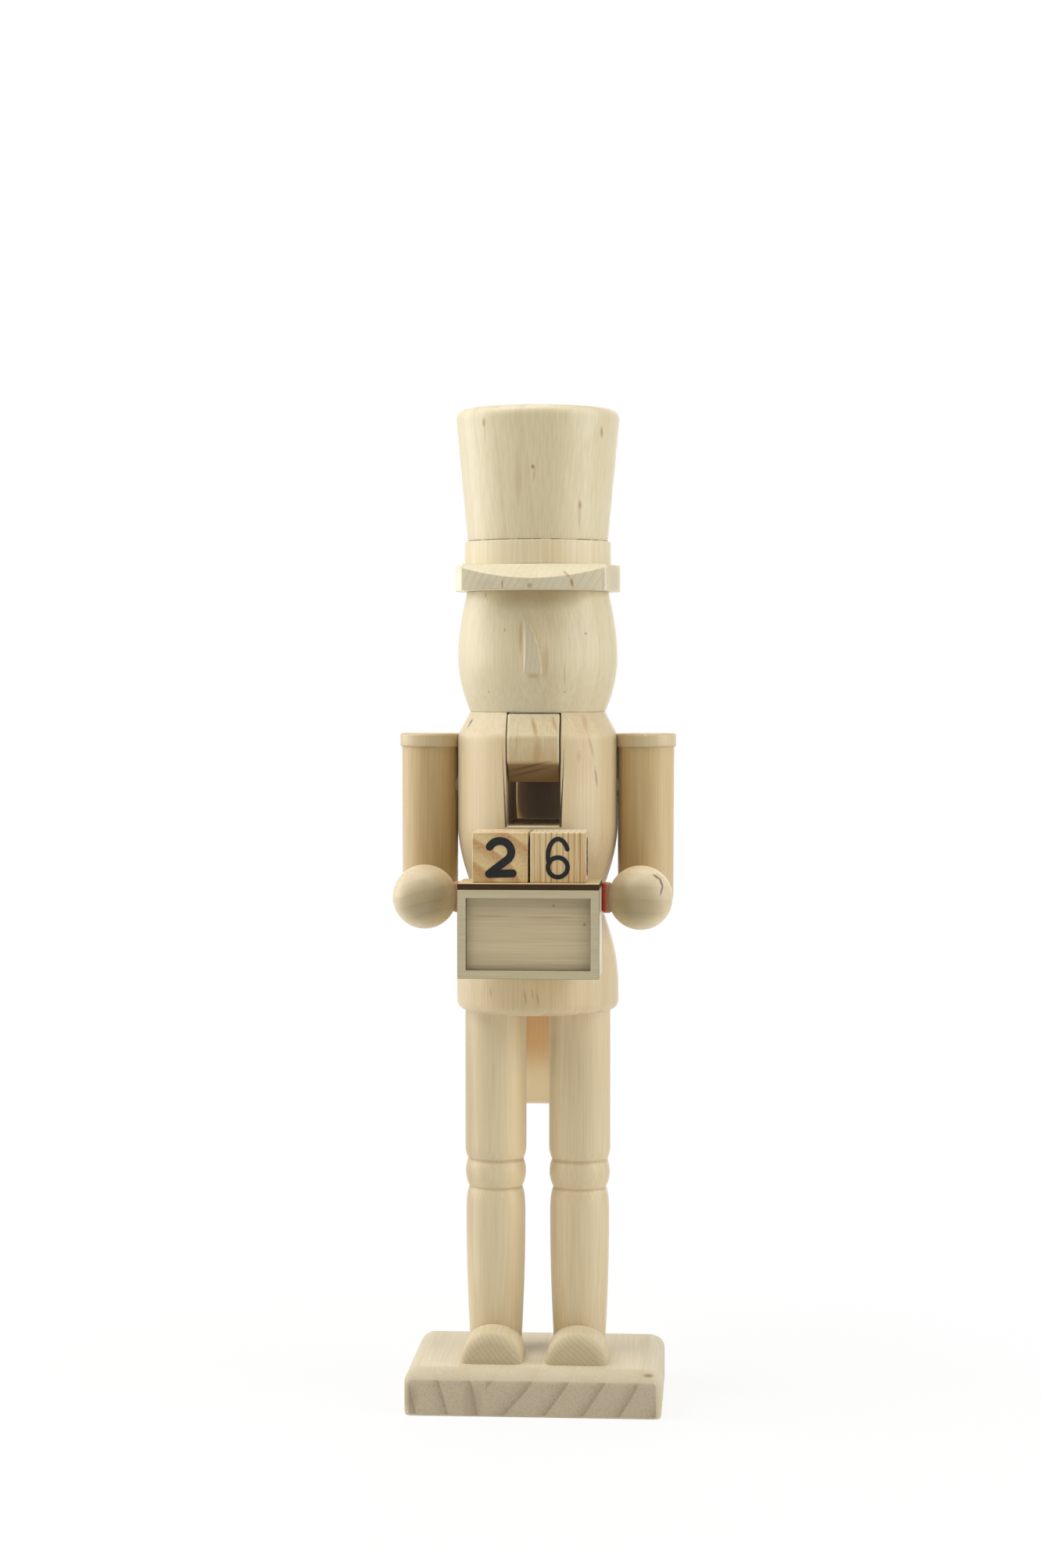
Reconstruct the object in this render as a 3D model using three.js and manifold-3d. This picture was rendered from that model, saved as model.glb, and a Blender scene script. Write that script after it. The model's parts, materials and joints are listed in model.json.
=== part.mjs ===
// Unpainted wooden nutcracker that holds a small countdown sign with two loose number blocks.
// Millimetres, +Z up. The figure faces -Y, and the origin is the centre of the base's underside.
// Left and right are as the viewer sees them from the front.

import * as THREE from 'three';
import { mergeVertices } from 'three/addons/utils/BufferGeometryUtils.js';
import { RoundedBoxGeometry } from 'three/addons/geometries/RoundedBoxGeometry.js';
import Module from 'manifold-3d';

// Fits shared by all pieces
const FIT_GAP = 0.3;              // between a coped piece and the round one that it meets
const DOWEL_FIT = 0.12;           // round a glued dowel
const DOWEL_END_GAP = 0.5;        // past each end of a dowel, for the glue
const DOWEL_CHAMFER = 0.6;

// Base
const BASE_WIDTH = 97;
const BASE_DEPTH = 70;
const BASE_HEIGHT = 18;
const BASE_TOP_EASE = 6;
const ANKLE_FLOOR = 8;            // wood left under an ankle dowel

// Legs, with heights above the base
const LEG_LENGTH = 132.7;
const LEG_RADIUS = 11.8;
const LEG_GAP = 8.8;              // between the two legs
const KNEE_HEIGHT = 64.1;         // lower groove
const KNEE_GROOVE_RADIUS = 10.35;
const KNEE_BEAD_HEIGHT = 9.7;     // from the lower groove to the upper one
const KNEE_BEAD_RADIUS = 11.6;
const THIGH_GROOVE_RADIUS = 10.95;
const THIGH_ROLL = 4;             // height over which the thigh rolls into the upper groove
const CALF_DROP = 9.6;            // from the lower groove to the widest part of the calf
const CALF_RADIUS = 11.4;
const ANKLE_RADIUS = 9.7;
const ANKLE_DOWEL_RADIUS = 3.5;
const ANKLE_DOWEL_IN_LEG = 11;
const HIP_DOWEL_RADIUS = 4;
const HIP_DOWEL_IN_LEG = 12;
const HIP_DOWEL_IN_TORSO = 12;

// Feet
const FOOT_WIDTH = 23.7;
const FOOT_HEIGHT = 12;
const FOOT_REACH = 16.5;          // front of the foot past the ankle
const FOOT_WRAP = 3.7;            // how far the foot's back reaches round the ankle
const FOOT_EASE = 4;

// Torso, from the skirt's hem up to the waist and on to the neck
const SKIRT_HEIGHT = 41.9;
const SKIRT_RADIUS = 31.1;
const SKIRT_HEM_EASE = 4;
const SKIRT_ROLL = 32.6;          // height over which the skirt rolls in to the waist
const SKIRT_ROLL_TAIL = 17.3;
const WAIST_RADIUS = 23.3;
const CHEST_HEIGHT = 72.3;
const CHEST_RADIUS = 30.7;
const CHEST_ROLL = 29.4;          // height over which the chest rolls out from the waist
const CHEST_ROLL_TAIL = 16.6;
const SHOULDER_CHAMFER = 8.9;
const NECK_RADIUS = 25.9;
const NECK_DOWEL_RADIUS = 4;
const NECK_DOWEL_IN_TORSO = 10;
const NECK_DOWEL_IN_HEAD = 10;

// Mouth slot, jaw lever and its pin
const SLOT_WIDTH = 20.5;
const SLOT_DEPTH = 42.5;
const JAW_SIDE_GAP = 0.55;
const JAW_TOP_GAP = 0.5;
const JAW_PROUD = 0.5;            // the jaw's ridge past the chest
const JAW_RIDGE_DROP = 9.2;       // from the neck down to the ridge
const JAW_TOP_SETBACK = 4.7;
const CHIN_DROP = 18.3;
const CHIN_SETBACK = 1;
const CHIN_SLANT = 8;             // how far back the slanted underside of the chin runs
const JAW_OPENING_DEG = 25;
const LEVER_RELIEF_DEG = 2;       // extra slope behind the pin, so the lever clears the head
const LEVER_FLOOR_GAP = 16.2;     // hollow under the lever, to the slot's floor
const PIVOT_DROP = 18.9;          // from the neck down to the pin
const PIVOT_BACK = 6;             // from the torso's axis back to the pin
const PIN_RADIUS = 2.5;
const PIN_RUNNING_GAP = 0.1;
const PIN_RECESS = 0.4;           // each pin end below the torso's surface
const HANDLE_GAP = 0.8;
const HANDLE_THICKNESS = 11;
const HANDLE_DROP = 42.2;           // below the skirt's hem
const HANDLE_EASE = 4;

// Head and nose
const HEAD_HEIGHT = 45.8;
const HEAD_RADIUS = 30.7;
const HEAD_BOTTOM_RADIUS = 25.9;
const HEAD_TOP_RADIUS = 27.1;
const CHEEK_HEIGHT = 21.1;        // widest part of the head, above its underside
const CHEEK_ROLL_BELOW = 9.7;
const CHEEK_ROLL_ABOVE = 9.7;
const NOSE_HEIGHT = 20.4;
const NOSE_RAISE = 14.6;
const NOSE_WIDTH = 6.5;
const NOSE_TOP_WIDTH = 1.2;
const NOSE_PROUD = 3.6;           // past the widest part of the head, at the nose's lower end
const NOSE_TOP_PROUD = 0.6;

// Hat
const BAND_RADIUS = 28.1;
const BAND_HEIGHT = 9.1;
const BRIM_LEDGE = 3.6;           // the brim past the band
const BRIM_THICKNESS = 9.9;
const VISOR_WIDTH = 53.8;
const VISOR_LENGTH = 9.4;         // past the band, at the middle
const VISOR_SIDE_SETBACK = 7;
const VISOR_DROP = 5.5;           // planed off the visor's front
const CROWN_HEIGHT = 50.3;
const CROWN_BOTTOM_RADIUS = 26.9;
const CROWN_TOP_RADIUS = 31.6;
const CROWN_EASE = 4.5;
const HAT_DOWEL_RADIUS = 4;
const HAT_DOWEL_IN_HEAD = 12;
const HAT_DOWEL_IN_CROWN = 12;

// Arms and hands
const ARM_BODY_GAP = 0.15;        // between the coped arm and the chest
const ARM_TOP_DROP = 8.2;         // from the neck down to the top of the arm
const ARM_TOP_RADIUS = 10.65;
const ARM_END_RADIUS = 10.3;
const ARM_END_EASE = 8;
const ARM_END_DROP = 8.5;         // the arm's end below the hand's centre
const RIM_RADIUS = 11.6;
const RIM_HEIGHT = 5.3;
const RIM_EASE = 1.2;
const SHOULDER_DOWEL_RADIUS = 4;
const SHOULDER_DOWEL_IN_TORSO = 9;
const SHOULDER_DOWEL_WEB = 3;     // wood between the pivot pin and the shoulder dowels
const HAND_RADIUS = 12;
const HAND_REACH = 33;            // in front of the arm's axis
const HAND_DROP = 6.7;            // below the sign's shelf top
const FOREARM_RADIUS = 7;
const WRIST_DOWEL_RADIUS = 3;

// Sign box
const BOX_WIDTH = 52;
const BOX_HEIGHT = 32.7;
const BOX_DEPTH = 27;
const BOX_RAISE = 17.1;           // above the skirt's hem
const BOX_BODY_GAP = 0.4;
const BOARD_THICKNESS = 3;
const FRAME_BORDER = 3.2;
const FRAME_DEPTH = 2.6;
const SHELF_THICKNESS = 2.2;
const PAD_THICKNESS = 2.4;
const PAD_HEIGHT = 11.5;
const PAD_DEPTH = 3.5;

// Number blocks
const BLOCK_WIDTH = 20.5;
const BLOCK_HEIGHT = 18.7;
const BLOCK_GAP = 0.8;
const BLOCK_EASE = 0.6;
const BLOCK_JAW_GAP = 0.8;        // behind the blocks, to the open jaw

// Fineness of the round forms
const LARGE_SIDES = 36;
const LIMB_SIDES = 24;
const SMALL_SIDES = 16;
const BALL_RINGS = 14;
const CURVE_STEPS = 5;
const EASE_STEPS = 3;
const MERGE_DISTANCE = 1e-5;

// Places worked out from the sizes
const TORSO_BOTTOM = BASE_HEIGHT + LEG_LENGTH;
const TORSO_HEIGHT = SKIRT_HEIGHT + CHEST_HEIGHT;
const LEG_X = LEG_RADIUS + LEG_GAP / 2;
const NECK_DOWEL_X = (SLOT_WIDTH / 2 + NECK_RADIUS) / 2;
const SLOT_FLOOR = TORSO_HEIGHT - SLOT_DEPTH;
const PIVOT_HEIGHT = TORSO_HEIGHT - PIVOT_DROP;
const BODY_RADIUS = Math.max(SKIRT_RADIUS, CHEST_RADIUS);
const JAW_RIDGE_Y = -(CHEST_RADIUS + JAW_PROUD);
const JAW_SWING = Math.hypot(JAW_RIDGE_Y - PIVOT_BACK, PIVOT_DROP - JAW_RIDGE_DROP);
const ARM_X = CHEST_RADIUS + ARM_BODY_GAP + ARM_TOP_RADIUS;
const BOX_TOP = BOX_RAISE + BOX_HEIGHT;
const SHELF_TOP = BOX_TOP + SHELF_THICKNESS;
const BOX_FRONT_Y = -(BODY_RADIUS + BOX_BODY_GAP + BOX_DEPTH);
const HAND_X = BOX_WIDTH / 2 + PAD_THICKNESS + HAND_RADIUS;
const HAND_HEIGHT = SHELF_TOP - HAND_DROP;
const ARM_END_HEIGHT = HAND_HEIGHT - ARM_END_DROP;
const ARM_LENGTH = TORSO_HEIGHT - ARM_TOP_DROP - ARM_END_HEIGHT;
const SHOULDER_DOWEL_HEIGHT = PIVOT_HEIGHT - PIN_RADIUS - SHOULDER_DOWEL_WEB - SHOULDER_DOWEL_RADIUS;
const BLOCK_BACK_Y = PIVOT_BACK - JAW_SWING - BLOCK_JAW_GAP;
const BRIM_RADIUS = BAND_RADIUS + BRIM_LEDGE;
const VISOR_FRONT = BAND_RADIUS + VISOR_LENGTH;

const SIDES = [
  { word: 'left', sign: -1 },
  { word: 'right', sign: 1 },
];

const wasm = await Module();
wasm.setup();

// Woods and the other materials
function matt(color, roughness = 0.75) {
  return new THREE.MeshStandardMaterial({ color, roughness, metalness: 0 });
}

const palePine = matt('#e0d3b0');
const bodyPine = matt('#d8c39c');
const armPine = matt('#c9b184');
const basePine = matt('#d3c39f');
const leverPine = matt('#cda870');
const dowelBirch = matt('#d9c59b');
const framePly = matt('#b2ac8c');
const panelPly = matt('#a59678');
const burntPly = matt('#45362b');
const redFoam = matt('#aa3228', 0.6);
const orangePine = matt('#cf9f63');
const stripedPine = matt('#d9b97c');

// Solids: closed geometry in, closed geometry out
function toSolid(geometry) {
  const bare = geometry.clone();
  bare.deleteAttribute('normal');
  bare.deleteAttribute('uv');
  const merged = mergeVertices(bare, MERGE_DISTANCE);
  const corners = merged.index.array;
  const kept = [];
  for (let i = 0; i < corners.length; i += 3) {
    const [a, b, c] = [corners[i], corners[i + 1], corners[i + 2]];
    if (a !== b && b !== c && c !== a) {
      kept.push(a, b, c);
    }
  }
  return new wasm.Manifold(new wasm.Mesh({
    numProp: 3,
    vertProperties: new Float32Array(merged.attributes.position.array),
    triVerts: new Uint32Array(kept),
  }));
}

function toGeometry(solid) {
  const mesh = solid.getMesh();
  const geometry = new THREE.BufferGeometry();
  geometry.setAttribute('position', new THREE.BufferAttribute(mesh.vertProperties, 3));
  geometry.setIndex(new THREE.BufferAttribute(mesh.triVerts, 1));
  geometry.computeVertexNormals();
  return geometry;
}

function cut(geometry, ...tools) {
  let solid = toSolid(geometry);
  for (const tool of tools) {
    solid = solid.subtract(toSolid(tool));
  }
  return toGeometry(solid);
}

// Forms: turned, sawn and drilled
function turned(profile, sides) {
  return new THREE.LatheGeometry(profile, sides).rotateX(Math.PI / 2);
}

function grown(profile, gap) {
  return profile.map((point) => new THREE.Vector2(point.x > 0 ? point.x + gap : 0, point.y));
}

function block(width, depth, height) {
  return new THREE.BoxGeometry(width, depth, height);
}

function sawnAcross(outline, width) {
  const geometry = new THREE.ExtrudeGeometry(outline, {
    depth: width,
    bevelEnabled: false,
    curveSegments: CURVE_STEPS,
  });
  geometry.translate(0, 0, -width / 2);
  const toSideView = new THREE.Matrix4().makeBasis(
    new THREE.Vector3(0, 1, 0),
    new THREE.Vector3(0, 0, 1),
    new THREE.Vector3(1, 0, 0),
  );
  return geometry.applyMatrix4(toSideView);
}

function sawnForward(outline, depth) {
  const geometry = new THREE.ExtrudeGeometry(outline, {
    depth,
    bevelEnabled: false,
    curveSegments: CURVE_STEPS,
  });
  return geometry.rotateX(Math.PI / 2);
}

function dowel(radius, length) {
  const profile = new THREE.Path();
  profile.moveTo(0, -length / 2);
  profile.lineTo(radius - DOWEL_CHAMFER, -length / 2);
  profile.lineTo(radius, -length / 2 + DOWEL_CHAMFER);
  profile.lineTo(radius, length / 2 - DOWEL_CHAMFER);
  profile.lineTo(radius - DOWEL_CHAMFER, length / 2);
  profile.lineTo(0, length / 2);
  return new THREE.LatheGeometry(profile.getPoints(), SMALL_SIDES);
}

function bore(radius, length) {
  return new THREE.CylinderGeometry(radius, radius, length, SMALL_SIDES);
}

function upright(geometry) {
  return geometry.rotateX(Math.PI / 2);
}

function crosswise(geometry) {
  return geometry.rotateZ(Math.PI / 2);
}

function piece(name, geometry, material, x = 0, y = 0, z = 0) {
  const mesh = new THREE.Mesh(geometry, material);
  mesh.name = name;
  mesh.position.set(x, y, z);
  return mesh;
}

function group(z, ...children) {
  const holder = new THREE.Group();
  holder.position.z = z;
  holder.add(...children);
  return holder;
}

// Holes that hold a dowel: their bottom lies past the dowel's end by the glue gap
function blindBore(radius, depth) {
  return bore(radius + DOWEL_FIT, 2 * (depth + DOWEL_END_GAP));
}

// Base and feet
function makeBase() {
  const half = { x: BASE_WIDTH / 2, y: BASE_DEPTH / 2 };
  const outline = new THREE.Shape([
    new THREE.Vector2(-half.x, -half.y),
    new THREE.Vector2(half.x, -half.y),
    new THREE.Vector2(half.x, half.y),
    new THREE.Vector2(-half.x, half.y),
  ]);
  const plank = new THREE.ExtrudeGeometry(outline, {
    depth: BASE_HEIGHT - BASE_TOP_EASE,
    bevelThickness: BASE_TOP_EASE,
    bevelSize: BASE_TOP_EASE,
    bevelOffset: -BASE_TOP_EASE,
    bevelSegments: EASE_STEPS,
  });
  const underside = block(2 * BASE_WIDTH, 2 * BASE_DEPTH, BASE_HEIGHT).translate(0, 0, -BASE_HEIGHT / 2);
  const bores = SIDES.map(({ sign }) => (
    upright(blindBore(ANKLE_DOWEL_RADIUS, BASE_HEIGHT - ANKLE_FLOOR)).translate(sign * LEG_X, 0, BASE_HEIGHT)
  ));
  return cut(plank, underside, ...bores);
}

function legProfile() {
  const upperGroove = KNEE_HEIGHT + KNEE_BEAD_HEIGHT;
  const calf = KNEE_HEIGHT - CALF_DROP;
  const beadControl = 2 * KNEE_BEAD_RADIUS - (KNEE_GROOVE_RADIUS + THIGH_GROOVE_RADIUS) / 2;
  const path = new THREE.Path();
  path.moveTo(0, 0);
  path.lineTo(ANKLE_RADIUS, 0);
  path.quadraticCurveTo(CALF_RADIUS, calf / 2, CALF_RADIUS, calf);
  path.quadraticCurveTo(CALF_RADIUS, KNEE_HEIGHT - CALF_DROP / 4, KNEE_GROOVE_RADIUS, KNEE_HEIGHT);
  path.quadraticCurveTo(beadControl, KNEE_HEIGHT + KNEE_BEAD_HEIGHT / 2, THIGH_GROOVE_RADIUS, upperGroove);
  path.quadraticCurveTo(LEG_RADIUS, upperGroove + THIGH_ROLL / 4, LEG_RADIUS, upperGroove + THIGH_ROLL);
  path.lineTo(LEG_RADIUS, LEG_LENGTH);
  path.lineTo(0, LEG_LENGTH);
  return path.getPoints(CURVE_STEPS - 1);
}

function makeLeg() {
  const ankleBore = upright(blindBore(ANKLE_DOWEL_RADIUS, ANKLE_DOWEL_IN_LEG));
  const hipBore = upright(blindBore(HIP_DOWEL_RADIUS, HIP_DOWEL_IN_LEG)).translate(0, 0, LEG_LENGTH);
  return cut(turned(legProfile(), LIMB_SIDES), ankleBore, hipBore);
}

function makeFoot() {
  const half = FOOT_WIDTH / 2;
  const front = ANKLE_RADIUS + FOOT_REACH;
  const back = ANKLE_RADIUS - FOOT_WRAP;
  const outline = new THREE.Shape();
  outline.moveTo(half, -FOOT_HEIGHT);
  outline.lineTo(half, 0);
  outline.absellipse(0, 0, half, FOOT_HEIGHT, 0, Math.PI, false, 0);
  outline.lineTo(-half, -FOOT_HEIGHT);
  const log = new THREE.ExtrudeGeometry(outline, {
    depth: front - FOOT_EASE,
    bevelThickness: FOOT_EASE,
    bevelSize: FOOT_EASE,
    bevelOffset: -FOOT_EASE,
    bevelSegments: EASE_STEPS,
    curveSegments: 2 * CURVE_STEPS,
  });
  log.rotateX(Math.PI / 2);
  const below = block(2 * FOOT_WIDTH, 4 * front, 2 * FOOT_HEIGHT).translate(0, 0, -FOOT_HEIGHT);
  const behind = block(2 * FOOT_WIDTH, 2 * front, 4 * FOOT_HEIGHT).translate(0, front - back, 0);
  const ankle = turned(grown(legProfile(), FIT_GAP), LIMB_SIDES);
  return cut(log, below, behind, ankle);
}

// Torso with the mouth slot and all its bores
function torsoProfile() {
  const straightTop = SKIRT_HEIGHT - SKIRT_ROLL;
  const hem = Math.min(SKIRT_HEM_EASE, straightTop);
  const path = new THREE.Path();
  path.moveTo(0, 0);
  path.lineTo(SKIRT_RADIUS - hem, 0);
  path.absarc(SKIRT_RADIUS - hem, hem, hem, -Math.PI / 2, 0, false);
  path.lineTo(SKIRT_RADIUS, straightTop);
  path.quadraticCurveTo(SKIRT_RADIUS, SKIRT_HEIGHT - SKIRT_ROLL_TAIL, WAIST_RADIUS, SKIRT_HEIGHT);
  path.quadraticCurveTo(
    CHEST_RADIUS, SKIRT_HEIGHT + CHEST_ROLL_TAIL,
    CHEST_RADIUS, SKIRT_HEIGHT + CHEST_ROLL,
  );
  path.lineTo(CHEST_RADIUS, TORSO_HEIGHT - SHOULDER_CHAMFER);
  path.lineTo(NECK_RADIUS, TORSO_HEIGHT);
  path.lineTo(0, TORSO_HEIGHT);
  return path.getPoints(CURVE_STEPS);
}

function makeTorso() {
  const slot = block(SLOT_WIDTH, 4 * BODY_RADIUS, 2 * SLOT_DEPTH).translate(0, 0, TORSO_HEIGHT);
  const pinBore = crosswise(bore(PIN_RADIUS + DOWEL_FIT, 4 * BODY_RADIUS));
  pinBore.translate(0, PIVOT_BACK, PIVOT_HEIGHT);
  const tools = [slot, pinBore];
  for (const { sign } of SIDES) {
    const hip = upright(blindBore(HIP_DOWEL_RADIUS, HIP_DOWEL_IN_TORSO));
    const neck = upright(blindBore(NECK_DOWEL_RADIUS, NECK_DOWEL_IN_TORSO));
    const shoulder = crosswise(blindBore(SHOULDER_DOWEL_RADIUS, SHOULDER_DOWEL_IN_TORSO));
    tools.push(hip.translate(sign * LEG_X, 0, 0));
    tools.push(neck.translate(sign * NECK_DOWEL_X, 0, TORSO_HEIGHT));
    tools.push(shoulder.translate(sign * CHEST_RADIUS, 0, SHOULDER_DOWEL_HEIGHT));
  }
  return cut(turned(torsoProfile(), LARGE_SIDES), ...tools);
}

// Jaw in front, handle behind: one board that rocks on the pin
function makeJawLever() {
  const top = TORSO_HEIGHT - JAW_TOP_GAP;
  const bottom = SLOT_FLOOR + LEVER_FLOOR_GAP;
  const chinY = JAW_RIDGE_Y + CHIN_SETBACK;
  const chin = TORSO_HEIGHT - CHIN_DROP;
  const handleFront = BODY_RADIUS + HANDLE_GAP;
  const handleBack = handleFront + HANDLE_THICKNESS;
  const handleEnd = -HANDLE_DROP;
  const handleMiddle = (handleFront + handleBack) / 2;
  const ease = Math.min(HANDLE_EASE, HANDLE_THICKNESS / 2);
  const slope = Math.tan(THREE.MathUtils.degToRad(JAW_OPENING_DEG + LEVER_RELIEF_DEG));
  const backCorner = top - (handleBack - PIVOT_BACK) * slope;
  const turnIn = top - (handleMiddle - PIVOT_BACK) * slope;
  const outline = new THREE.Shape();
  outline.moveTo(JAW_RIDGE_Y + JAW_TOP_SETBACK, top);
  outline.lineTo(JAW_RIDGE_Y, TORSO_HEIGHT - JAW_RIDGE_DROP);
  outline.lineTo(chinY, chin);
  outline.lineTo(chinY + CHIN_SLANT, bottom);
  outline.lineTo(handleFront, bottom);
  outline.lineTo(handleFront, handleEnd + ease);
  outline.quadraticCurveTo(handleFront, handleEnd, handleFront + ease, handleEnd);
  outline.lineTo(handleBack - ease, handleEnd);
  outline.quadraticCurveTo(handleBack, handleEnd, handleBack, handleEnd + ease);
  outline.lineTo(handleBack, backCorner - HANDLE_THICKNESS / 2);
  outline.quadraticCurveTo(handleBack, backCorner, handleMiddle, turnIn);
  outline.lineTo(PIVOT_BACK, top);
  const pinBore = crosswise(bore(PIN_RADIUS + PIN_RUNNING_GAP, 2 * SLOT_WIDTH));
  pinBore.translate(0, PIVOT_BACK, PIVOT_HEIGHT);
  return cut(sawnAcross(outline, SLOT_WIDTH - 2 * JAW_SIDE_GAP), pinBore);
}

function makePivotPin() {
  const reach = Math.sqrt(CHEST_RADIUS ** 2 - PIVOT_BACK ** 2) - PIN_RECESS;
  return crosswise(dowel(PIN_RADIUS, 2 * reach));
}

// Head and nose
function headProfile() {
  const path = new THREE.Path();
  path.moveTo(0, 0);
  path.lineTo(HEAD_BOTTOM_RADIUS, 0);
  path.quadraticCurveTo(HEAD_RADIUS, CHEEK_HEIGHT - CHEEK_ROLL_BELOW, HEAD_RADIUS, CHEEK_HEIGHT);
  path.quadraticCurveTo(HEAD_RADIUS, CHEEK_HEIGHT + CHEEK_ROLL_ABOVE, HEAD_TOP_RADIUS, HEAD_HEIGHT);
  path.lineTo(0, HEAD_HEIGHT);
  return path.getPoints(CURVE_STEPS);
}

function makeHead() {
  const hatBore = upright(blindBore(HAT_DOWEL_RADIUS, HAT_DOWEL_IN_HEAD)).translate(0, 0, HEAD_HEIGHT);
  const neckBores = SIDES.map(({ sign }) => (
    upright(blindBore(NECK_DOWEL_RADIUS, NECK_DOWEL_IN_HEAD)).translate(sign * NECK_DOWEL_X, 0, 0)
  ));
  return cut(turned(headProfile(), LARGE_SIDES), hatBore, ...neckBores);
}

// The nose is straight on its left, rounded on its right, and stands out most at its lower end
function makeNose() {
  const half = NOSE_WIDTH / 2;
  const top = NOSE_RAISE + NOSE_HEIGHT;
  const front = new THREE.Shape();
  front.moveTo(-half, NOSE_RAISE);
  front.lineTo(half, NOSE_RAISE);
  front.quadraticCurveTo(half, NOSE_RAISE + NOSE_HEIGHT / 2, NOSE_TOP_WIDTH - half, top);
  front.lineTo(-half, top);
  const side = new THREE.Shape();
  side.moveTo(0, NOSE_RAISE);
  side.lineTo(0, top);
  side.lineTo(-(HEAD_RADIUS + NOSE_TOP_PROUD), top);
  side.lineTo(-(HEAD_RADIUS + NOSE_PROUD), NOSE_RAISE);
  const wedge = toSolid(sawnAcross(side, 2 * NOSE_WIDTH));
  const face = toSolid(sawnForward(front, 2 * HEAD_RADIUS));
  const seat = toSolid(turned(grown(headProfile(), FIT_GAP), LARGE_SIDES));
  return toGeometry(wedge.intersect(face).subtract(seat));
}

// Hat: brim with a planed visor, band and crown on one dowel
function makeBrim() {
  const half = VISOR_WIDTH / 2;
  const sideFront = VISOR_FRONT - VISOR_SIDE_SETBACK;
  const disc = new THREE.CylinderGeometry(BRIM_RADIUS, BRIM_RADIUS, BRIM_THICKNESS, LARGE_SIDES);
  upright(disc).translate(0, 0, BRIM_THICKNESS / 2);
  const outline = new THREE.Shape();
  outline.moveTo(-half, 0);
  outline.lineTo(-half, -sideFront);
  outline.quadraticCurveTo(0, -VISOR_FRONT - VISOR_SIDE_SETBACK, half, -sideFront);
  outline.lineTo(half, 0);
  const visor = new THREE.ExtrudeGeometry(outline, {
    depth: BRIM_THICKNESS,
    bevelEnabled: false,
    curveSegments: 2 * CURVE_STEPS,
  });
  const slope = Math.atan2(VISOR_DROP, VISOR_LENGTH);
  const reach = 4 * BRIM_RADIUS;
  const plane = block(reach, reach, reach).translate(0, -reach / 2, reach / 2).rotateX(slope);
  plane.translate(0, -BAND_RADIUS - FIT_GAP, BRIM_THICKNESS);
  const dowelBore = upright(bore(HAT_DOWEL_RADIUS + DOWEL_FIT, 4 * BRIM_THICKNESS));
  const planed = toSolid(disc).add(toSolid(visor)).subtract(toSolid(plane));
  return toGeometry(planed.subtract(toSolid(dowelBore)));
}

function makeBand() {
  const ring = new THREE.CylinderGeometry(BAND_RADIUS, BAND_RADIUS, BAND_HEIGHT, LARGE_SIDES);
  const dowelBore = bore(HAT_DOWEL_RADIUS + DOWEL_FIT, 4 * BAND_HEIGHT);
  return upright(cut(ring, dowelBore)).translate(0, 0, BAND_HEIGHT / 2);
}

function makeCrown() {
  const lean = (CROWN_TOP_RADIUS - CROWN_BOTTOM_RADIUS) / CROWN_HEIGHT;
  const path = new THREE.Path();
  path.moveTo(0, 0);
  path.lineTo(CROWN_BOTTOM_RADIUS, 0);
  path.lineTo(CROWN_TOP_RADIUS - lean * CROWN_EASE, CROWN_HEIGHT - CROWN_EASE);
  path.quadraticCurveTo(CROWN_TOP_RADIUS, CROWN_HEIGHT, CROWN_TOP_RADIUS - CROWN_EASE, CROWN_HEIGHT);
  path.lineTo(0, CROWN_HEIGHT);
  const dowelBore = upright(blindBore(HAT_DOWEL_RADIUS, HAT_DOWEL_IN_CROWN));
  return cut(turned(path.getPoints(EASE_STEPS + 1), LARGE_SIDES), dowelBore);
}

// Arms, forearms and hands, each in the arm's own frame: origin at the middle of the arm's lower end
function armProfile() {
  const rimBottom = ARM_LENGTH - RIM_HEIGHT;
  const path = new THREE.Path();
  path.moveTo(0, 0);
  path.lineTo(ARM_END_RADIUS - ARM_END_EASE, 0);
  path.absarc(ARM_END_RADIUS - ARM_END_EASE, ARM_END_EASE, ARM_END_EASE, -Math.PI / 2, 0, false);
  path.lineTo(ARM_TOP_RADIUS, rimBottom);
  path.quadraticCurveTo(RIM_RADIUS, rimBottom, RIM_RADIUS, rimBottom + RIM_EASE);
  path.lineTo(RIM_RADIUS, ARM_LENGTH - RIM_EASE);
  path.quadraticCurveTo(RIM_RADIUS, ARM_LENGTH, RIM_RADIUS - RIM_EASE, ARM_LENGTH);
  path.lineTo(0, ARM_LENGTH);
  return path.getPoints(EASE_STEPS);
}

function makeArm(sign) {
  const shoulderHeight = SHOULDER_DOWEL_HEIGHT - ARM_END_HEIGHT;
  const shoulder = crosswise(blindBore(SHOULDER_DOWEL_RADIUS, ARM_X - CHEST_RADIUS));
  shoulder.translate(sign * (CHEST_RADIUS - ARM_X), 0, shoulderHeight);
  const wrist = bore(WRIST_DOWEL_RADIUS + DOWEL_FIT, HAND_REACH);
  wrist.translate(sign * (HAND_X - ARM_X), -HAND_REACH / 2, ARM_END_DROP);
  const chest = turned(grown(torsoProfile(), ARM_BODY_GAP), LARGE_SIDES);
  chest.translate(-sign * ARM_X, 0, -ARM_END_HEIGHT);
  return cut(turned(armProfile(), LIMB_SIDES), chest, shoulder, wrist);
}

function ball(radius) {
  return new THREE.SphereGeometry(radius, LIMB_SIDES, BALL_RINGS);
}

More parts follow.
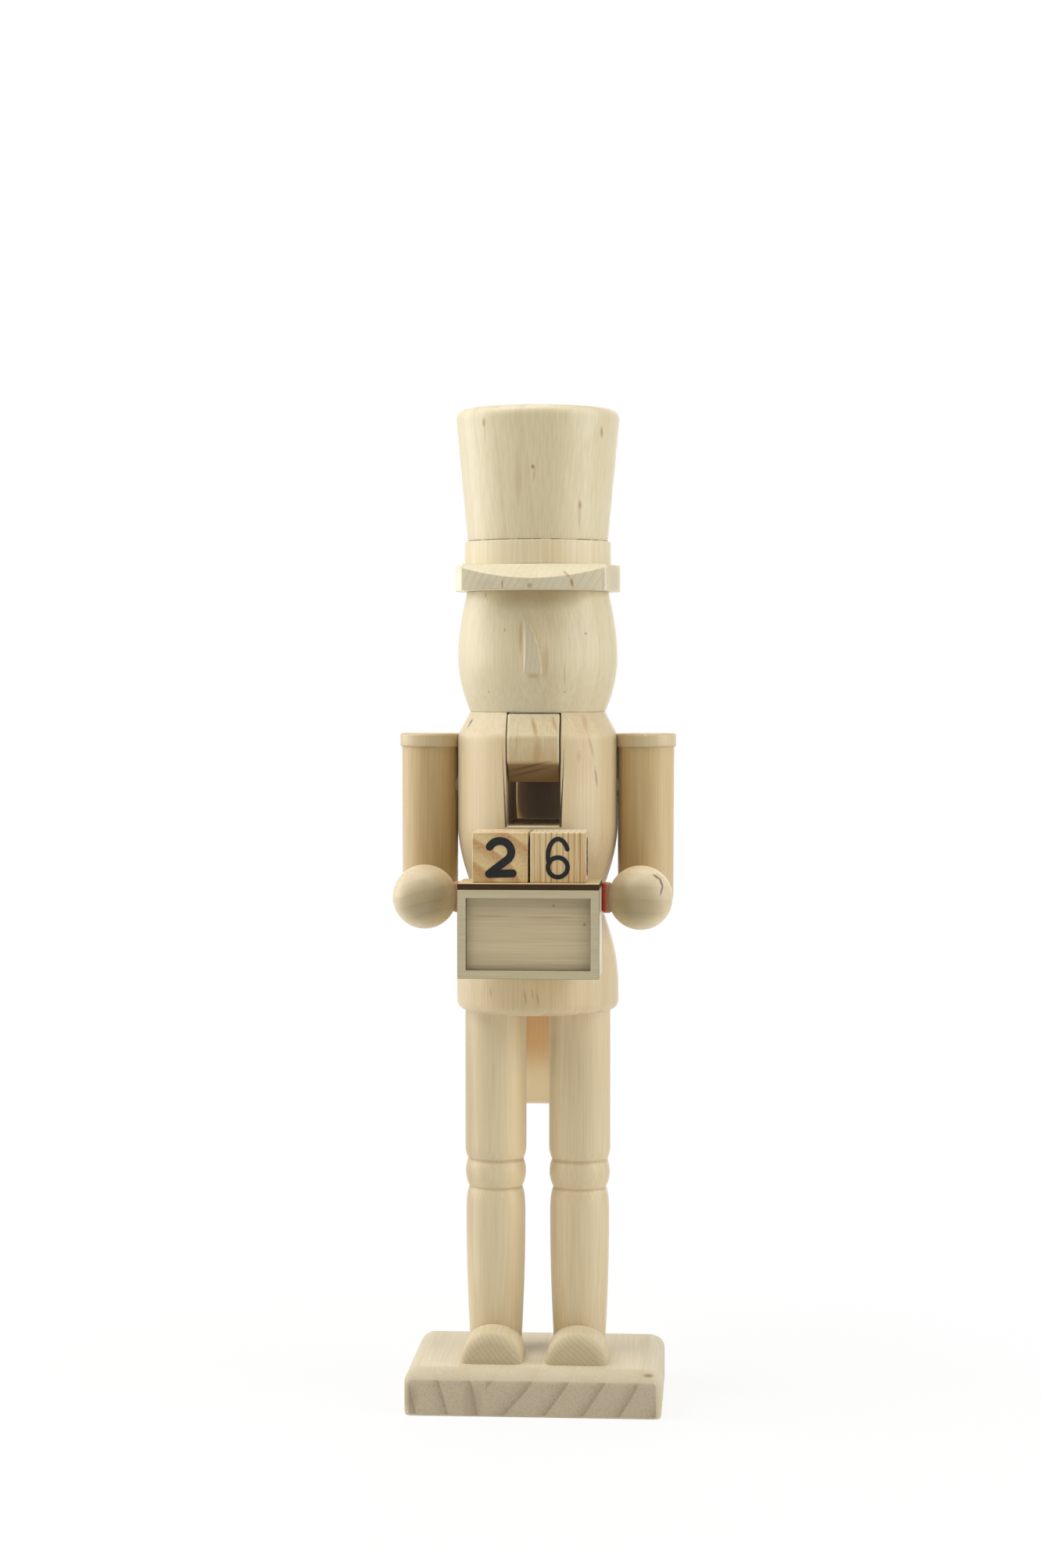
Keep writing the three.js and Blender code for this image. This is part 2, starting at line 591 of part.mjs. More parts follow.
function makeForearm(sign) {
  const rod = new THREE.CylinderGeometry(FOREARM_RADIUS, FOREARM_RADIUS, HAND_REACH, LIMB_SIDES);
  rod.translate(0, -HAND_REACH / 2, 0);
  const arm = turned(grown(armProfile(), FIT_GAP), LIMB_SIDES);
  arm.translate(sign * (ARM_X - HAND_X), 0, -ARM_END_DROP);
  const hand = ball(HAND_RADIUS + FIT_GAP).translate(0, -HAND_REACH, 0);
  const wrist = bore(WRIST_DOWEL_RADIUS + DOWEL_FIT, 4 * HAND_REACH);
  return cut(rod, arm, hand, wrist);
}

function makeHand() {
  const wrist = bore(WRIST_DOWEL_RADIUS + DOWEL_FIT, HAND_REACH).translate(0, HAND_REACH / 2, 0);
  return cut(ball(HAND_RADIUS), wrist);
}

// Sign box: frame and panel in front, thin boards behind, a shelf on top
function makeFrame() {
  const half = BOX_WIDTH / 2;
  const opening = half - FRAME_BORDER;
  const outline = new THREE.Shape();
  outline.moveTo(-half, 0);
  outline.lineTo(half, 0);
  outline.lineTo(half, BOX_HEIGHT);
  outline.lineTo(-half, BOX_HEIGHT);
  const window = new THREE.Path();
  window.moveTo(-opening, FRAME_BORDER);
  window.lineTo(-opening, BOX_HEIGHT - FRAME_BORDER);
  window.lineTo(opening, BOX_HEIGHT - FRAME_BORDER);
  window.lineTo(opening, FRAME_BORDER);
  outline.holes.push(window);
  return sawnForward(outline, FRAME_DEPTH).translate(0, FRAME_DEPTH, 0);
}

function makeSign() {
  const inside = BOX_WIDTH - 2 * BOARD_THICKNESS;
  const bodyDepth = BOX_DEPTH - FRAME_DEPTH;
  const bodyMiddle = FRAME_DEPTH + bodyDepth / 2;
  const floorDepth = bodyDepth - 2 * BOARD_THICKNESS;
  const shelf = block(BOX_WIDTH, BOX_DEPTH, SHELF_THICKNESS);
  const panel = block(inside, BOARD_THICKNESS, BOX_HEIGHT);
  const floor = block(inside, floorDepth, BOARD_THICKNESS);
  const wall = block(BOARD_THICKNESS, bodyDepth, BOX_HEIGHT);
  const middle = BOX_HEIGHT / 2;
  const panelY = FRAME_DEPTH + BOARD_THICKNESS / 2;
  const backY = BOX_DEPTH - BOARD_THICKNESS / 2;
  const sign = group(
    BOX_RAISE,
    piece('sign_frame', makeFrame(), framePly),
    piece('sign_panel', panel, panelPly, 0, panelY, middle),
    piece('sign_back', panel.clone(), panelPly, 0, backY, middle),
    piece('sign_floor', floor, panelPly, 0, bodyMiddle, BOARD_THICKNESS / 2),
    piece('sign_shelf', shelf, burntPly, 0, BOX_DEPTH / 2, BOX_HEIGHT + SHELF_THICKNESS / 2),
  );
  for (const { word, sign: side } of SIDES) {
    const x = side * (BOX_WIDTH - BOARD_THICKNESS) / 2;
    sign.add(piece(`sign_${word}_side`, wall.clone(), framePly, x, bodyMiddle, middle));
  }
  sign.position.y = BOX_FRONT_Y;
  return sign;
}

// A pad fills the space between the box's side and the round hand
function makePad(sign) {
  const reach = HAND_X - BOX_WIDTH / 2;
  const padY = BOX_FRONT_Y + BOX_DEPTH - PAD_DEPTH / 2;
  const slab = block(reach, PAD_DEPTH, PAD_HEIGHT).translate(sign * reach / 2, 0, 0);
  const hand = ball(HAND_RADIUS + FIT_GAP).translate(sign * reach, -HAND_REACH - padY, 0);
  return { geometry: cut(slab, hand), y: padY };
}

// Stand: base, legs, feet and the ankle dowels
function makeStand() {
  const dowelDepth = BASE_HEIGHT - ANKLE_FLOOR;
  const ankleLength = dowelDepth + ANKLE_DOWEL_IN_LEG;
  const ankleHeight = BASE_HEIGHT + (ANKLE_DOWEL_IN_LEG - dowelDepth) / 2;
  const stand = group(0, piece('base', makeBase(), basePine));
  for (const { word, sign } of SIDES) {
    const x = sign * LEG_X;
    const ankle = upright(dowel(ANKLE_DOWEL_RADIUS, ankleLength));
    stand.add(piece(`${word}_leg`, makeLeg(), palePine, x, 0, BASE_HEIGHT));
    stand.add(piece(`${word}_foot`, makeFoot(), basePine, x, 0, BASE_HEIGHT));
    stand.add(piece(`${word}_ankle_dowel`, ankle, dowelBirch, x, 0, ankleHeight));
  }
  return stand;
}

// Body: torso, lever, arms, hands and what the hands hold
function makeBody() {
  const body = group(
    TORSO_BOTTOM,
    piece('torso', makeTorso(), bodyPine),
    piece('jaw_lever', makeJawLever(), leverPine),
    piece('pivot_pin', makePivotPin(), dowelBirch, 0, PIVOT_BACK, PIVOT_HEIGHT),
    makeSign(),
  );
  const hipLength = HIP_DOWEL_IN_LEG + HIP_DOWEL_IN_TORSO;
  const hipHeight = (HIP_DOWEL_IN_TORSO - HIP_DOWEL_IN_LEG) / 2;
  const shoulderIn = CHEST_RADIUS - SHOULDER_DOWEL_IN_TORSO;
  const wristLength = HAND_REACH - 2 * DOWEL_END_GAP;
  for (const { word, sign } of SIDES) {
    const armX = sign * ARM_X;
    const handX = sign * HAND_X;
    const hip = upright(dowel(HIP_DOWEL_RADIUS, hipLength));
    const shoulder = crosswise(dowel(SHOULDER_DOWEL_RADIUS, ARM_X - shoulderIn));
    const shoulderX = sign * (ARM_X + shoulderIn) / 2;
    const wrist = dowel(WRIST_DOWEL_RADIUS, wristLength);
    const pad = makePad(sign);
    body.add(piece(`${word}_hip_dowel`, hip, dowelBirch, sign * LEG_X, 0, hipHeight));
    body.add(piece(`${word}_arm`, makeArm(sign), armPine, armX, 0, ARM_END_HEIGHT));
    body.add(piece(`${word}_shoulder_dowel`, shoulder, dowelBirch, shoulderX, 0, SHOULDER_DOWEL_HEIGHT));
    body.add(piece(`${word}_forearm`, makeForearm(sign), armPine, handX, 0, HAND_HEIGHT));
    body.add(piece(`${word}_wrist_dowel`, wrist, dowelBirch, handX, -HAND_REACH / 2, HAND_HEIGHT));
    body.add(piece(`${word}_hand`, makeHand(), armPine, handX, -HAND_REACH, HAND_HEIGHT));
    body.add(piece(`${word}_pad`, pad.geometry, redFoam, sign * BOX_WIDTH / 2, pad.y, HAND_HEIGHT));
  }
  const blockX = (BLOCK_WIDTH + BLOCK_GAP) / 2;
  const blockY = BLOCK_BACK_Y - BLOCK_WIDTH / 2;
  const blockZ = SHELF_TOP + BLOCK_HEIGHT / 2;
  const cube = new RoundedBoxGeometry(BLOCK_WIDTH, BLOCK_WIDTH, BLOCK_HEIGHT, 1, BLOCK_EASE);
  body.add(piece('tens_block', cube, orangePine, -blockX, blockY, blockZ));
  body.add(piece('units_block', cube.clone(), stripedPine, blockX, blockY, blockZ));
  return body;
}

// Head with its nose and the two neck dowels
function makeHeadGroup() {
  const neckLength = NECK_DOWEL_IN_HEAD + NECK_DOWEL_IN_TORSO;
  const neckHeight = (NECK_DOWEL_IN_HEAD - NECK_DOWEL_IN_TORSO) / 2;
  const head = group(
    TORSO_BOTTOM + TORSO_HEIGHT,
    piece('head', makeHead(), palePine),
    piece('nose', makeNose(), palePine),
  );
  for (const { word, sign } of SIDES) {
    const neck = upright(dowel(NECK_DOWEL_RADIUS, neckLength));
    head.add(piece(`${word}_neck_dowel`, neck, dowelBirch, sign * NECK_DOWEL_X, 0, neckHeight));
  }
  return head;
}

function makeHat() {
  const stack = BRIM_THICKNESS + BAND_HEIGHT;
  const dowelLength = HAT_DOWEL_IN_HEAD + stack + HAT_DOWEL_IN_CROWN;
  const dowelHeight = (stack + HAT_DOWEL_IN_CROWN - HAT_DOWEL_IN_HEAD) / 2;
  return group(
    TORSO_BOTTOM + TORSO_HEIGHT + HEAD_HEIGHT,
    piece('hat_brim', makeBrim(), palePine),
    piece('hat_band', makeBand(), palePine, 0, 0, BRIM_THICKNESS),
    piece('hat_crown', makeCrown(), palePine, 0, 0, stack),
    piece('hat_dowel', upright(dowel(HAT_DOWEL_RADIUS, dowelLength)), dowelBirch, 0, 0, dowelHeight),
  );
}

const nutcracker = new THREE.Group();
nutcracker.add(makeStand(), makeBody(), makeHeadGroup(), makeHat());

export default nutcracker;
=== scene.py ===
"""Looks of the unpainted wooden nutcracker: fine meshes, wood finishes, light and camera.

Sizes are in millimetres and turn into Blender's metres in the bench functions. The figure faces -Y,
+X is the viewer's right, and the origin is the centre of the base's underside.
"""

import json
import logging
import math
from abc import ABC, abstractmethod
from collections.abc import Callable, Sequence
from dataclasses import dataclass
from enum import Enum, StrEnum

import bmesh
import bpy
from mathutils import Matrix, Vector

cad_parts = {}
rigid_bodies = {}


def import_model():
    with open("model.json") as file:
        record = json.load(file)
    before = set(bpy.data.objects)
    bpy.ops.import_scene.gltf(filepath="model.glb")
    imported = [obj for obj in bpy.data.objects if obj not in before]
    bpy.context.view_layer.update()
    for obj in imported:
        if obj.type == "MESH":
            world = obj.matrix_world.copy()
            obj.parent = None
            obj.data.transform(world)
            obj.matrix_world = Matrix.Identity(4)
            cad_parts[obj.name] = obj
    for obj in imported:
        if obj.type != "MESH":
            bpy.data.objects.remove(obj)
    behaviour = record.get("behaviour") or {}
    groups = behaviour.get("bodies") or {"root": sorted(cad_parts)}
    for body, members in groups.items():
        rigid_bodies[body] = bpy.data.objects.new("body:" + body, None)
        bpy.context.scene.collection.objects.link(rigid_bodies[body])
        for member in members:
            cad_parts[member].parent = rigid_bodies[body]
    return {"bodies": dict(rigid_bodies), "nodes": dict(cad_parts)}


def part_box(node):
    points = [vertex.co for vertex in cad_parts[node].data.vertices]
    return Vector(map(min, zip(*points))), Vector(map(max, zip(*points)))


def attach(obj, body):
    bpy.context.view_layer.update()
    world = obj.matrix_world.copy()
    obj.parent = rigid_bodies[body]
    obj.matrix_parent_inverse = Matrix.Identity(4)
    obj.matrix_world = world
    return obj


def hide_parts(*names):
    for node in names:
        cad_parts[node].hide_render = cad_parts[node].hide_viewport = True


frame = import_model()

LOG = logging.getLogger("nutcracker")
MM = 0.001

# Fineness of the meshes
BODY_SIDES = 96
LIMB_SIDES = 72
PIN_SIDES = 32
CURVE_STEPS = 14
ROUND_STEPS = 6
CAP_STEPS = 8
WELD = 0.002
SHARP_ANGLE = math.radians(32)
# Faces across a rounding, from the broad ones to the finest
BROAD_EASE, MIDDLE_EASE, SMALL_EASE, FINE_EASE = 8, 4, 3, 2

HALF_TURN = 180


class Side(StrEnum):
    """A side of the figure, as the viewer sees it."""

    LEFT = "left"
    RIGHT = "right"


class Axis(Enum):
    """A direction of the shared frame, with the two directions across it."""

    X = ("X", "Y", "Z")
    Y = ("Y", "X", "Z")
    Z = ("Z", "X", "Y")

    def unit(self, place: int = 0) -> Vector:
        """The unit vector along the axis, or across it for place 1 and 2."""
        return Vector([float(letter == self.value[place]) for letter in "XYZ"])


@dataclass(frozen=True)
class Box:
    """A CAD node's box at rest, in millimetres."""

    low: Vector
    high: Vector

    @classmethod
    def of(cls, node: str) -> "Box":
        """The box of one CAD node."""
        low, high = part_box(node)
        return cls(low / MM, high / MM)

    @property
    def middle(self) -> Vector:
        """The box's centre."""
        return (self.low + self.high) / 2

    @property
    def size(self) -> Vector:
        """The box's three edge lengths."""
        return self.high - self.low

    @property
    def foot(self) -> Vector:
        """The centre of the box's underside."""
        return Vector((self.middle.x, self.middle.y, self.low.z))


# Bench: what a modeller does by hand, one operator after another


class Profile:
    """Half outline of a turned piece, as radius and height, from one end of its axis to the other."""

    def __init__(self, radius: float, height: float) -> None:
        """Starts the outline at one point."""
        self.points = [(radius, height)]

    def line(self, radius: float, height: float) -> "Profile":
        """Runs straight to a point."""
        self.points.append((radius, height))
        return self

    def curve(
        self, control: tuple[float, float], end: tuple[float, float], steps: int = CURVE_STEPS
    ) -> "Profile":
        """Runs to a point along a quadratic curve.

        Args:
            control: Radius and height that the curve is pulled towards.
            end: Radius and height where it ends.
            steps: Number of straight steps.

        Returns:
            The same profile, so that calls can be chained.
        """
        start = self.points[-1]
        for step in range(1, steps + 1):
            t = step / steps
            weights = ((1 - t) ** 2, 2 * t * (1 - t), t**2)
            pulls = (start, control, end)
            self.points.append(tuple(sum(w * p[i] for w, p in zip(weights, pulls)) for i in (0, 1)))
        return self

    def grow(self, gap: float) -> "Profile":
        """Moves the outline out by a gap, except where it is on the axis."""
        self.points = [(radius + gap if radius else 0, height) for radius, height in self.points]
        return self

    @classmethod
    def rod(cls, radius: float, low: float, high: float, rounding: float) -> "Profile":
        """Works out a plain rod with eased ends.

        Args:
            radius: The rod's radius.
            low: Height of its lower end.
            high: Height of its upper end.
            rounding: Width of the easing.

        Returns:
            The outline from the lower end to the upper one.
        """
        profile = cls(0, low).line(radius - rounding, low)
        profile.curve((radius, low), (radius, low + rounding), ROUND_STEPS)
        profile.line(radius, high - rounding)
        return profile.curve((radius, high), (radius - rounding, high), ROUND_STEPS).line(0, high)


def deselect_all() -> None:
    """Leaves object mode's selection empty, so that an operator acts only on the piece in hand."""
    bpy.ops.object.select_all(action="DESELECT")


def take_up(piece: bpy.types.Object) -> None:
    """Makes a piece the only selected and the active one.

    Args:
        piece: The piece to work on.
    """
    deselect_all()
    piece.select_set(True)
    bpy.context.view_layer.objects.active = piece


def just_added(name: str) -> bpy.types.Object:
    """Names the object that an operator has just added.

    Args:
        name: Name for the object and its mesh.

    Returns:
        The object.
    """
    piece = bpy.context.active_object
    piece.name = name
    piece.data.name = name
    return piece


def trace(name: str, points: Sequence[Vector]) -> bpy.types.Object:
    """Draws a chain of edges by extruding one vertex from point to point.

    Args:
        name: Name of the new object.
        points: Places in millimetres.

    Returns:
        The object, left in edit mode with its last vertex selected.
    """
    deselect_all()
    bpy.ops.mesh.primitive_plane_add(size=MM)
    piece = just_added(name)
    bpy.ops.object.mode_set(mode="EDIT")
    bpy.ops.mesh.select_mode(type="VERT")
    bpy.ops.mesh.select_all(action="SELECT")
    bpy.ops.mesh.merge(type="CENTER")
    bpy.ops.transform.translate(value=points[0] * MM)
    for here, there in zip(points, points[1:]):
        bpy.ops.mesh.extrude_vertices_move(TRANSFORM_OT_translate={"value": (there - here) * MM})
    return piece


def close_up() -> None:
    """Welds doubles and turns all faces of the mesh in edit mode outwards, then leaves edit mode."""
    bpy.ops.mesh.select_all(action="SELECT")
    bpy.ops.mesh.remove_doubles(threshold=WELD * MM)
    bpy.ops.mesh.normals_make_consistent(inside=False)
    bpy.ops.object.mode_set(mode="OBJECT")


def turn(
    name: str, profile: Profile, foot: Vector, axis: Axis = Axis.Z, sides: int = BODY_SIDES
) -> bpy.types.Object:
    """Turns a profile on the lathe.

    Args:
        name: Name of the new object.
        profile: Half outline, which starts and ends on the axis.
        foot: Place of the profile's height 0.
        axis: Direction of the lathe's axis.
        sides: Steps of one turn.

    Returns:
        The closed turned piece.
    """
    along, across = axis.unit(), axis.unit(1)
    piece = trace(name, [foot + across * radius + along * height for radius, height in profile.points])
    bpy.ops.mesh.select_all(action="SELECT")
    bpy.ops.mesh.spin(steps=sides, angle=2 * math.pi, center=foot * MM, axis=along)
    close_up()
    return piece


def saw(name: str, outline: Sequence[Vector], depth: Vector) -> bpy.types.Object:
    """Saws a flat outline out of a board.

    Args:
        name: Name of the new object.
        outline: Corners of the outline in order.
        depth: Direction and thickness of the board.

    Returns:
        The closed prism.
    """
    piece = trace(name, outline)
    bpy.ops.mesh.select_all(action="SELECT")
    bpy.ops.mesh.edge_face_add()
    bpy.ops.mesh.extrude_region_move(TRANSFORM_OT_translate={"value": depth * MM})
    close_up()
    return piece


def board(name: str, box: Box) -> bpy.types.Object:
    """Cuts a square board to a box.

    Args:
        name: Name of the new object.
        box: The box that it fills.

    Returns:
        The board, with its place in its mesh.
    """
    deselect_all()
    bpy.ops.mesh.primitive_cube_add(size=1, location=box.middle * MM, scale=box.size * MM)
    piece = just_added(name)
    bpy.ops.object.transform_apply(location=True, rotation=True, scale=True)
    return piece


def is_sharp(edge: bmesh.types.BMEdge) -> bool:
    """Says whether an edge's two faces meet at a clear angle."""
    return edge.calc_face_angle(0.0) > SHARP_ANGLE


def ease(
    piece: bpy.types.Object,
    width: float,
    steps: int = SMALL_EASE,
    test: Callable[[bmesh.types.BMEdge], bool] = is_sharp,
    clamp: bool = True,
) -> None:
    """Rounds the edges that a test picks.

    Args:
        piece: The piece to work on.
        width: Width of the rounding in millimetres.
        steps: Faces across the rounding.
        test: Picks the edges.
        clamp: Keeps the rounding from running into its neighbours.
    """
    take_up(piece)
    bpy.ops.object.mode_set(mode="EDIT")
    bpy.ops.mesh.select_mode(type="EDGE")
    bpy.ops.mesh.select_all(action="DESELECT")
    mesh = bmesh.from_edit_mesh(piece.data)
    for edge in mesh.edges:
        if test(edge):
            edge.select_set(True)
    bmesh.update_edit_mesh(piece.data)
    bpy.ops.mesh.bevel(offset=width * MM, segments=steps, affect="EDGES", clamp_overlap=clamp)
    bpy.ops.object.mode_set(mode="OBJECT")


def plane_off(piece: bpy.types.Object, place: Vector, outward: Vector) -> None:
    """Planes a piece down to a flat face and closes the cut.

    Args:
        piece: The piece to work on.
        place: A point of the plane in millimetres.
        outward: Direction in which the wood is taken away.
    """
    take_up(piece)
    bpy.ops.object.mode_set(mode="EDIT")
    bpy.ops.mesh.select_all(action="SELECT")
    bpy.ops.mesh.bisect(plane_co=place * MM, plane_no=outward.normalized(), use_fill=True, clear_outer=True)
    close_up()


def apply_modifier(piece: bpy.types.Object, modifier: bpy.types.Modifier) -> None:
    """Applies one modifier to the piece's mesh."""
    take_up(piece)
    bpy.ops.object.modifier_apply(modifier=modifier.name)


def carve(piece: bpy.types.Object, *cutters: bpy.types.Object) -> None:
    """Cuts other pieces out of a piece and throws them away.

    Args:
        piece: The piece to work on.
        cutters: Closed pieces that are cut out.
    """
    for cutter in cutters:
        modifier = piece.modifiers.new("carve", "BOOLEAN")
        modifier.operation = "DIFFERENCE"
        modifier.solver = "EXACT"
        modifier.object = cutter
        apply_modifier(piece, modifier)
        bpy.data.objects.remove(cutter)


def shade(piece: bpy.types.Object) -> None:
    """Smooths the shading of round faces and keeps flat ones flat.

    Args:
        piece: The piece to work on.
    """
    take_up(piece)
    bpy.ops.object.shade_smooth_by_angle(angle=SHARP_ANGLE)
    modifier = piece.modifiers.new("flat_faces", "WEIGHTED_NORMAL")
    modifier.keep_sharp = True
    apply_modifier(piece, modifier)


def arc(
    middle: Vector, reach: tuple[float, float], start: float, end: float, steps: int = CURVE_STEPS
) -> list[Vector]:
    """Points of an elliptic arc in the XY plane.

    Args:
        middle: Centre of the ellipse.
        reach: Half widths along X and Y.
        start: First angle in degrees.
        end: Last angle in degrees.
        steps: Number of straight steps.

    Returns:
        The points from the first angle to the last.
    """
    points = []
    for step in range(steps + 1):
        angle = math.radians(start + (end - start) * step / steps)
        points.append(middle + Vector((reach[0] * math.cos(angle), reach[1] * math.sin(angle), 0)))
    return points


# Finishes


def linear(code: str) -> tuple[float, float, float, float]:
    """Turns an sRGB hex colour into Blender's linear one.

    Args:
        code: Colour such as "#d8cbaa".

    Returns:
        Linear red, green and blue, with alpha 1.
    """
    shares = [int(code[i : i + 2], 16) / 255 for i in (1, 3, 5)]
    red, green, blue = (s / 12.92 if s <= 0.04045 else ((s + 0.055) / 1.055) ** 2.4 for s in shares)
    return red, green, blue, 1.0


def add(
    tree: bpy.types.NodeTree, kind: str, inputs: dict[str | int, object] | None = None, **settings: object
) -> bpy.types.Node:
    """Adds a node with its settings and links.

    Args:
        tree: The node tree.
        kind: Blender's name for the node's type.
        inputs: For each input, a value, a socket to link, or a node whose first output is linked.
        settings: Values of the node's own properties.

    Returns:
        The new node.
    """
    node = tree.nodes.new(kind)
    for key, value in settings.items():
        setattr(node, key, value)
    for key, value in (inputs or {}).items():
        if isinstance(value, bpy.types.Node):
            value = value.outputs[0]
        if isinstance(value, bpy.types.NodeSocket):
            tree.links.new(value, node.inputs[key])
        else:
            node.inputs[key].default_value = value
    return node


def new_material(name: str) -> tuple[bpy.types.Material, bpy.types.NodeTree, bpy.types.Node]:
    """Starts a material.

    Args:
        name: Name of the real material and how it was made.

    Returns:
        The material, its node tree and its shader node.
    """
    material = bpy.data.materials.new(name)
    material.use_nodes = True
    tree = material.node_tree
    return material, tree, tree.nodes["Principled BSDF"]


# Places of the Mix node's sockets, first for colours and then for vectors
MIX_FACTOR, MIX_A, MIX_B, MIX_COLOUR = 0, 6, 7, 2
MIX_VECTOR_A, MIX_VECTOR_B, MIX_VECTOR = 4, 5, 1


@dataclass(frozen=True)
class Finish(ABC):
    """What a piece is made of and how its surface was made."""

    name: str

    def material(self) -> bpy.types.Material:
        """Builds the material, once.

        Returns:
            The material, shared by all the pieces of this finish.
        """
        made = bpy.data.materials.get(self.name)
        if made:
            return made
        material, tree, shader = new_material(self.name)
        self.dress(tree, shader)
        return material

    @abstractmethod
    def dress(self, tree: bpy.types.NodeTree, shader: bpy.types.Node) -> None:
        """Adds the finish's pattern to a new material.

        Args:
            tree: The material's node tree.
            shader: Its shader node.
        """


@dataclass(frozen=True)
class FleckOrPaintedLight:
    """A resin fleck, knot, streak or stain, or a patch of painted light or shade: a soft lens of another
    colour, seen where it meets the surface.

    Place and half widths are in millimetres, and the lean is in degrees round Y.
    """

    place: tuple[float, float, float]
    size: tuple[float, float, float]
    colour: str = "#a0741a"
    strength: float = 0.75
    lean: float = 0.0
    soft: float = 0.75


@dataclass(frozen=True)
class GlueLine:
    """A second plank glued on: wood left of the seam grew round another pith."""

    seam: float
    pith: tuple[float, float]


@dataclass(frozen=True)
class PineFinish(Finish):
    """Bare wood, turned or sawn and sanded: soft colour, a satin sheen and rings that follow the log.

    The rings are cylinders round the pith, so end grain shows arcs and long grain shows streaks.
    """

    early: str
    late: str
    end: str
    end_late: str
    grain: Axis = Axis.Z
    pith: tuple[float, float] = (24.0, 60.0)
    ring: float = 6.0
    ring_rise: float = 3.5
    ring_strength: float = 0.3
    warp: float = 5.0
    streak_strength: float = 0.7
    fibre: float = 0.7
    fibre_strength: float = 1.1
    cut: tuple[float, float] = (0.45, 0.97)
    sheen: float = 0.3
    roughness: float = 0.45
    specular: float = 0.8
    turning: float = 0.25
    bump: float = 0.25
    flecks_and_painted_light: tuple[FleckOrPaintedLight, ...] = ()
    glue: GlueLine | None = None
    dark_joint: float | None = None

    # Real fibres, pores and tool marks are too fine to show, so they are drawn as coarse as they need
    PORE_MM = 0.8
    PORE_FROM, PORE_TO, PORE_SHARE = 0.45, 0.75, 0.35
    TOOL_MM = 1.1
    # Places are shrunk along the grain, which draws all noise out that way
    GRAIN_PULL = 1 / 40
    FINE_DETAIL, DETAIL, PLAIN_DETAIL = 4.0, 2.0, 1.0
    NOISE_MIDDLE = 0.5
    LATE_SHARE = 0.2
    STREAK_MM = 10.0
    WARP_MM = 38.0
    RING_DROP = 7.0
    BUMP_MM = 0.12
    ROUGH_SPREAD = 0.08
    SHEEN_ROUGHNESS = 0.45
    JOINT_MM = 0.42
    JOINT_COLOUR = "#4a3a26"
    DASH_MM = 4.0
    DASH_FROM, DASH_TO, DASH_SHARE = 0.36, 0.5, 0.9

    def dress(self, tree: bpy.types.NodeTree, shader: bpy.types.Node) -> None:
        """Adds the wood's colour, relief and gloss.

        Args:
            tree: The material's node tree.
            shader: Its shader node.
        """
        place = add(tree, "ShaderNodeTexCoord").outputs
        here = add(tree, "ShaderNodeVectorMath", {0: place["Object"], "Scale": 1 / MM}, operation="SCALE")
        parts = add(tree, "ShaderNodeSeparateXYZ", {0: here}).outputs
        along, first, second = (parts[letter] for letter in self.grain.value)
        drawn_out = add(tree, "ShaderNodeMath", {0: along, 1: self.GRAIN_PULL}, operation="MULTIPLY")
        grain = add(tree, "ShaderNodeCombineXYZ", {0: first, 1: second, 2: drawn_out})
        late = self.rings(tree, parts, grain, first, second)
        fibre = add(
            tree,
            "ShaderNodeTexNoise",
            {"Vector": grain, "Scale": 1 / self.fibre, "Detail": self.FINE_DETAIL},
        )
        facing = add(tree, "ShaderNodeSeparateXYZ", {0: place["Normal"]}).outputs
        square_on = add(tree, "ShaderNodeMath", {0: facing[self.grain.value[0]]}, operation="ABSOLUTE")
        cut_across = add(
            tree,
            "ShaderNodeMapRange",
            {"Value": square_on, "From Min": self.cut[0], "From Max": self.cut[1]},
            interpolation_type="SMOOTHSTEP",
        )
        long_grain = self.long_grain(tree, grain, late, fibre)
        end_grain = self.end_grain(tree, here, late)
        colour = add(
            tree,
            "ShaderNodeMix",
            {MIX_FACTOR: cut_across, MIX_A: long_grain, MIX_B: end_grain},
            data_type="RGBA",
        ).outputs[MIX_COLOUR]
        colour = self.marks(tree, here, colour)
        if self.dark_joint is not None:
            colour = self.joint_line(tree, here, parts, colour)
        tool = self.turning_marks(tree, along)
        height = add(tree, "ShaderNodeMath", {0: tool, 1: self.turning, 2: fibre}, operation="MULTIPLY_ADD")
        bump = add(
            tree,
            "ShaderNodeBump",
            {"Strength": self.bump, "Distance": self.BUMP_MM * MM, "Height": height},
        )
        rough = add(
            tree,
            "ShaderNodeMapRange",
            {
                "Value": fibre,
                "To Min": self.roughness - self.ROUGH_SPREAD,
                "To Max": self.roughness + self.ROUGH_SPREAD,
            },
        )
        tree.links.new(colour, shader.inputs["Base Color"])
        tree.links.new(rough.outputs[0], shader.inputs["Roughness"])
        tree.links.new(bump.outputs[0], shader.inputs["Normal"])
        shader.inputs["Specular IOR Level"].default_value = self.specular
        shader.inputs["Sheen Weight"].default_value = self.sheen
        shader.inputs["Sheen Roughness"].default_value = self.SHEEN_ROUGHNESS

